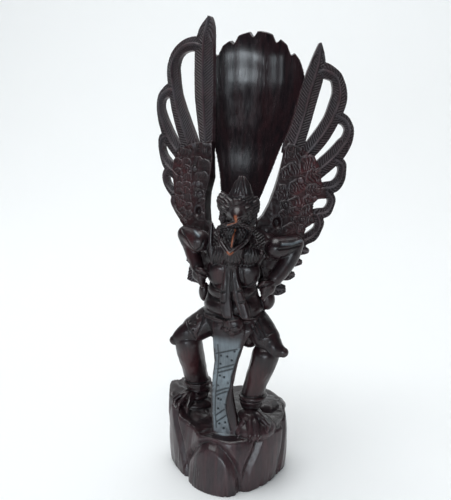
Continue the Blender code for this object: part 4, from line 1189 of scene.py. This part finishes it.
def stained_wood():
    """Hardwood stained nearly black with a wax finish, rubbed to red-brown where hands and cloth reach it;
    its hollows and cuts carry painted shade, and its pale places carry painted sheen.
    """
    material, node, shade = new_material("stained_wood")

    def combine(operation, first, second, clamp=False):
        return node("ShaderNodeMath", {0: first, 1: second}, operation=operation, use_clamp=clamp).outputs[0]

    def times(first, second):
        return combine("MULTIPLY", first, second)

    def mask(name):
        return node("ShaderNodeAttribute", attribute_name=name).outputs["Fac"]

    def noise(place, scale, detail, roughness, distortion=0.0):
        return node("ShaderNodeTexNoise", {"Vector": place, "Scale": scale, "Detail": detail,
                                           "Roughness": roughness, "Distortion": distortion}).outputs["Fac"]

    def stretch(value, low, high, to_low, to_high):
        return node("ShaderNodeMapRange", {"Value": value, "From Min": low, "From Max": high,
                                           "To Min": to_low, "To Max": to_high}).outputs["Result"]

    def mix(share, first, second):
        return node("ShaderNodeMix", {0: share, 6: first, 7: second}, data_type="RGBA").outputs[2]

    place = node("ShaderNodeTexCoord").outputs["Object"]
    along_grain = node("ShaderNodeMapping", {"Vector": place, "Scale": (1.0, 1.0, 0.06)}).outputs["Vector"]
    grain = noise(along_grain, 420.0, 6.0, 0.62, 0.4)
    rings = noise(along_grain, 90.0, 4.0, 0.5, 1.4)
    blotch = noise(place, 34.0, 5.0, 0.6)
    speck = noise(place, 900.0, 3.0, 0.6)
    pores = node("ShaderNodeTexVoronoi", {"Vector": along_grain, "Scale": 650.0}).outputs["Distance"]
    relief = mask("relief")
    edge = stretch(relief, 0.56, 0.86, 0.0, 1.0)
    # Painted shade in hollows and in the cuts marked dark
    hollow = combine("MAXIMUM", stretch(relief, 0.46, 0.16, 0.0, 1.0), mask("dark"))

    grained = stretch(grain, 0.35, 0.68, 0.0, 1.0)
    stain = mix(grained, STAIN_DARK, STAIN_BROWN)
    stain = mix(stretch(rings, 0.42, 0.7, 0.0, 0.55), stain, STAIN_RED_BROWN)
    rubbed = times(mask("red"), stretch(blotch, 0.30, 0.62, 0.25, 1.0))
    rubbed = times(rubbed, stretch(grain, 0.3, 0.6, 0.45, 1.0))
    stain = mix(rubbed, stain, RUBBED_RED)
    worn_edge = times(edge, stretch(blotch, 0.35, 0.65, 0.15, 0.9))
    stain = mix(times(worn_edge, 0.55), stain, EDGE_BROWN)
    # Painted sheen and highlights where the carving marked pale, partly a rubbed paler tone on the cloth
    sheen_and_wax = times(mask("pale"), stretch(grain, 0.25, 0.7, 0.55, 1.0))
    sheen_and_wax = times(sheen_and_wax, stretch(blotch, 0.35, 0.6, 0.55, 1.0))
    stain = mix(sheen_and_wax, stain, SHEEN_AND_WAX_GREY)
    # Painted shade
    stain = mix(times(hollow, 0.75), stain, PAINTED_SHADE_BLACK)
    stain = mix(times(mask("raw"), stretch(speck, 0.3, 0.7, 0.6, 1.0)), stain, RAW_WOOD)

    rough = stretch(grain, 0.3, 0.7, 0.27, 0.40)
    rough = combine("ADD", rough, stretch(blotch, 0.3, 0.7, -0.05, 0.07))
    rough = combine("ADD", rough, times(hollow, 0.22))
    rough = combine("ADD", rough, times(mask("raw"), 0.2))
    rough = combine("ADD", rough, times(mask("polish"), -0.13), clamp=True)

    height = combine("ADD", times(grain, 0.6), times(speck, 0.25))
    height = combine("ADD", height, times(stretch(pores, 0.0, 0.25, 0.0, 1.0), 0.5))
    bump = node("ShaderNodeBump", {"Height": height, "Strength": 0.28, "Distance": 0.0003})
    shade({"Base Color": stain, "Roughness": rough, "Normal": bump.outputs["Normal"], "IOR": 1.43,
           "Coat Weight": 0.12, "Coat Roughness": 0.15})
    return material


def carving(name, build, cuts, cell, triangles, material):
    """Some of the forms as one closed skin, carved, and thinned to the number of triangles given for it."""
    bm = bmesh.new()
    build(bm)
    bmesh.ops.recalc_face_normals(bm, faces=bm.faces)
    skin = modified(to_mesh(bm, "forms"), "REMESH", mode="VOXEL", voxel_size=cell)
    carve(skin, cuts)
    share = min(1.0, triangles / (2 * len(skin.polygons)))
    thin = modified(skin, "DECIMATE", ratio=share, use_collapse_triangulate=True)
    bm = bmesh.new()
    add_mesh(bm, thin)
    clean(bm)
    mesh = to_mesh(bm, name)
    relief_mask(mesh)
    mesh.polygons.foreach_set("use_smooth", np.ones(len(mesh.polygons), dtype=bool))
    mesh.materials.append(material)
    piece = placed(name, mesh)
    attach(piece, "root")
    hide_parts("garuda_statue")


def carve_wing(s, side):
    feathers, outline, scales, curls, recess = WINGS[side]
    carve_feathers(s, side, feathers, outline)
    carve_coverts(s, side, outline, scales, curls, recess)


def statue():
    material = stained_wood()
    figure_cuts = (carve_cloth, carve_face, carve_body, carve_base)
    carving("garuda_figure", figure, figure_cuts, FIGURE_CELL, PIECE_TRIANGLES, material)
    carving("garuda_tail", tail, (carve_tail,), TAIL_CELL, TAIL_TRIANGLES, material)
    for name, side in (("garuda_right_wing", 1), ("garuda_left_wing", -1)):
        cuts = (partial(carve_wing, side=side),)
        carving(name, partial(wing, side=side), cuts, WING_CELL, PIECE_TRIANGLES, material)


def plain(name, color, roughness):
    material, node, shade = new_material(name)
    grit = node("ShaderNodeTexNoise", {"Scale": 600.0}).outputs["Fac"]
    bump = node("ShaderNodeBump", {"Height": grit, "Strength": 0.03, "Distance": 0.0002})
    shade({"Base Color": color, "Roughness": roughness, "Specular IOR Level": 0.2,
           "Normal": bump.outputs["Normal"]})
    return material


def floor():
    """A pale sheet that lies flat and then curves up behind the statue."""
    bm = bmesh.new()
    flat_to = BACKDROP_BEHIND - BACKDROP_CURVE
    profile = [(FLOOR_FRONT, 0.0), (flat_to, 0.0)]
    for k in range(1, 17):
        a = math.pi / 2 * k / 16
        profile.append((flat_to + BACKDROP_CURVE * math.sin(a), BACKDROP_CURVE * (1 - math.cos(a))))
    profile.append((BACKDROP_BEHIND, BACKDROP_TOP))
    rows = [[bm.verts.new((x, y, z)) for x in (-FLOOR_HALF_WIDTH, FLOOR_HALF_WIDTH)] for y, z in profile]
    for low, high in zip(rows, rows[1:]):
        bm.faces.new((low[0], low[1], high[1], high[0])).smooth = True
    mesh = to_mesh(bm, "studio_floor")
    mesh.materials.append(plain("pale_floor", FLOOR_COLOR, 0.75))
    placed("studio_floor", mesh)


def softbox(name, place, target, size, watts, color):
    data = bpy.data.lights.new(name, "AREA")
    data.shape = "ELLIPSE"
    data.size, data.size_y = size
    data.energy = watts
    data.color = color
    aim = (Vector(target) - Vector(place)).to_track_quat("-Z", "Y")
    placed(name, data).matrix_world = Matrix.Translation(place) @ aim.to_matrix().to_4x4()


def studio():
    for box in SOFTBOXES:
        softbox(*box)
    world = bpy.data.worlds.new("studio")
    world.use_nodes = True
    background = world.node_tree.nodes["Background"]
    background.inputs["Color"].default_value = WORLD_COLOR
    background.inputs["Strength"].default_value = WORLD_STRENGTH
    bpy.context.scene.world = world
    bpy.context.scene.view_settings.view_transform = "Standard"


def main():
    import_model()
    camera()
    floor()
    studio()
    statue()


main()
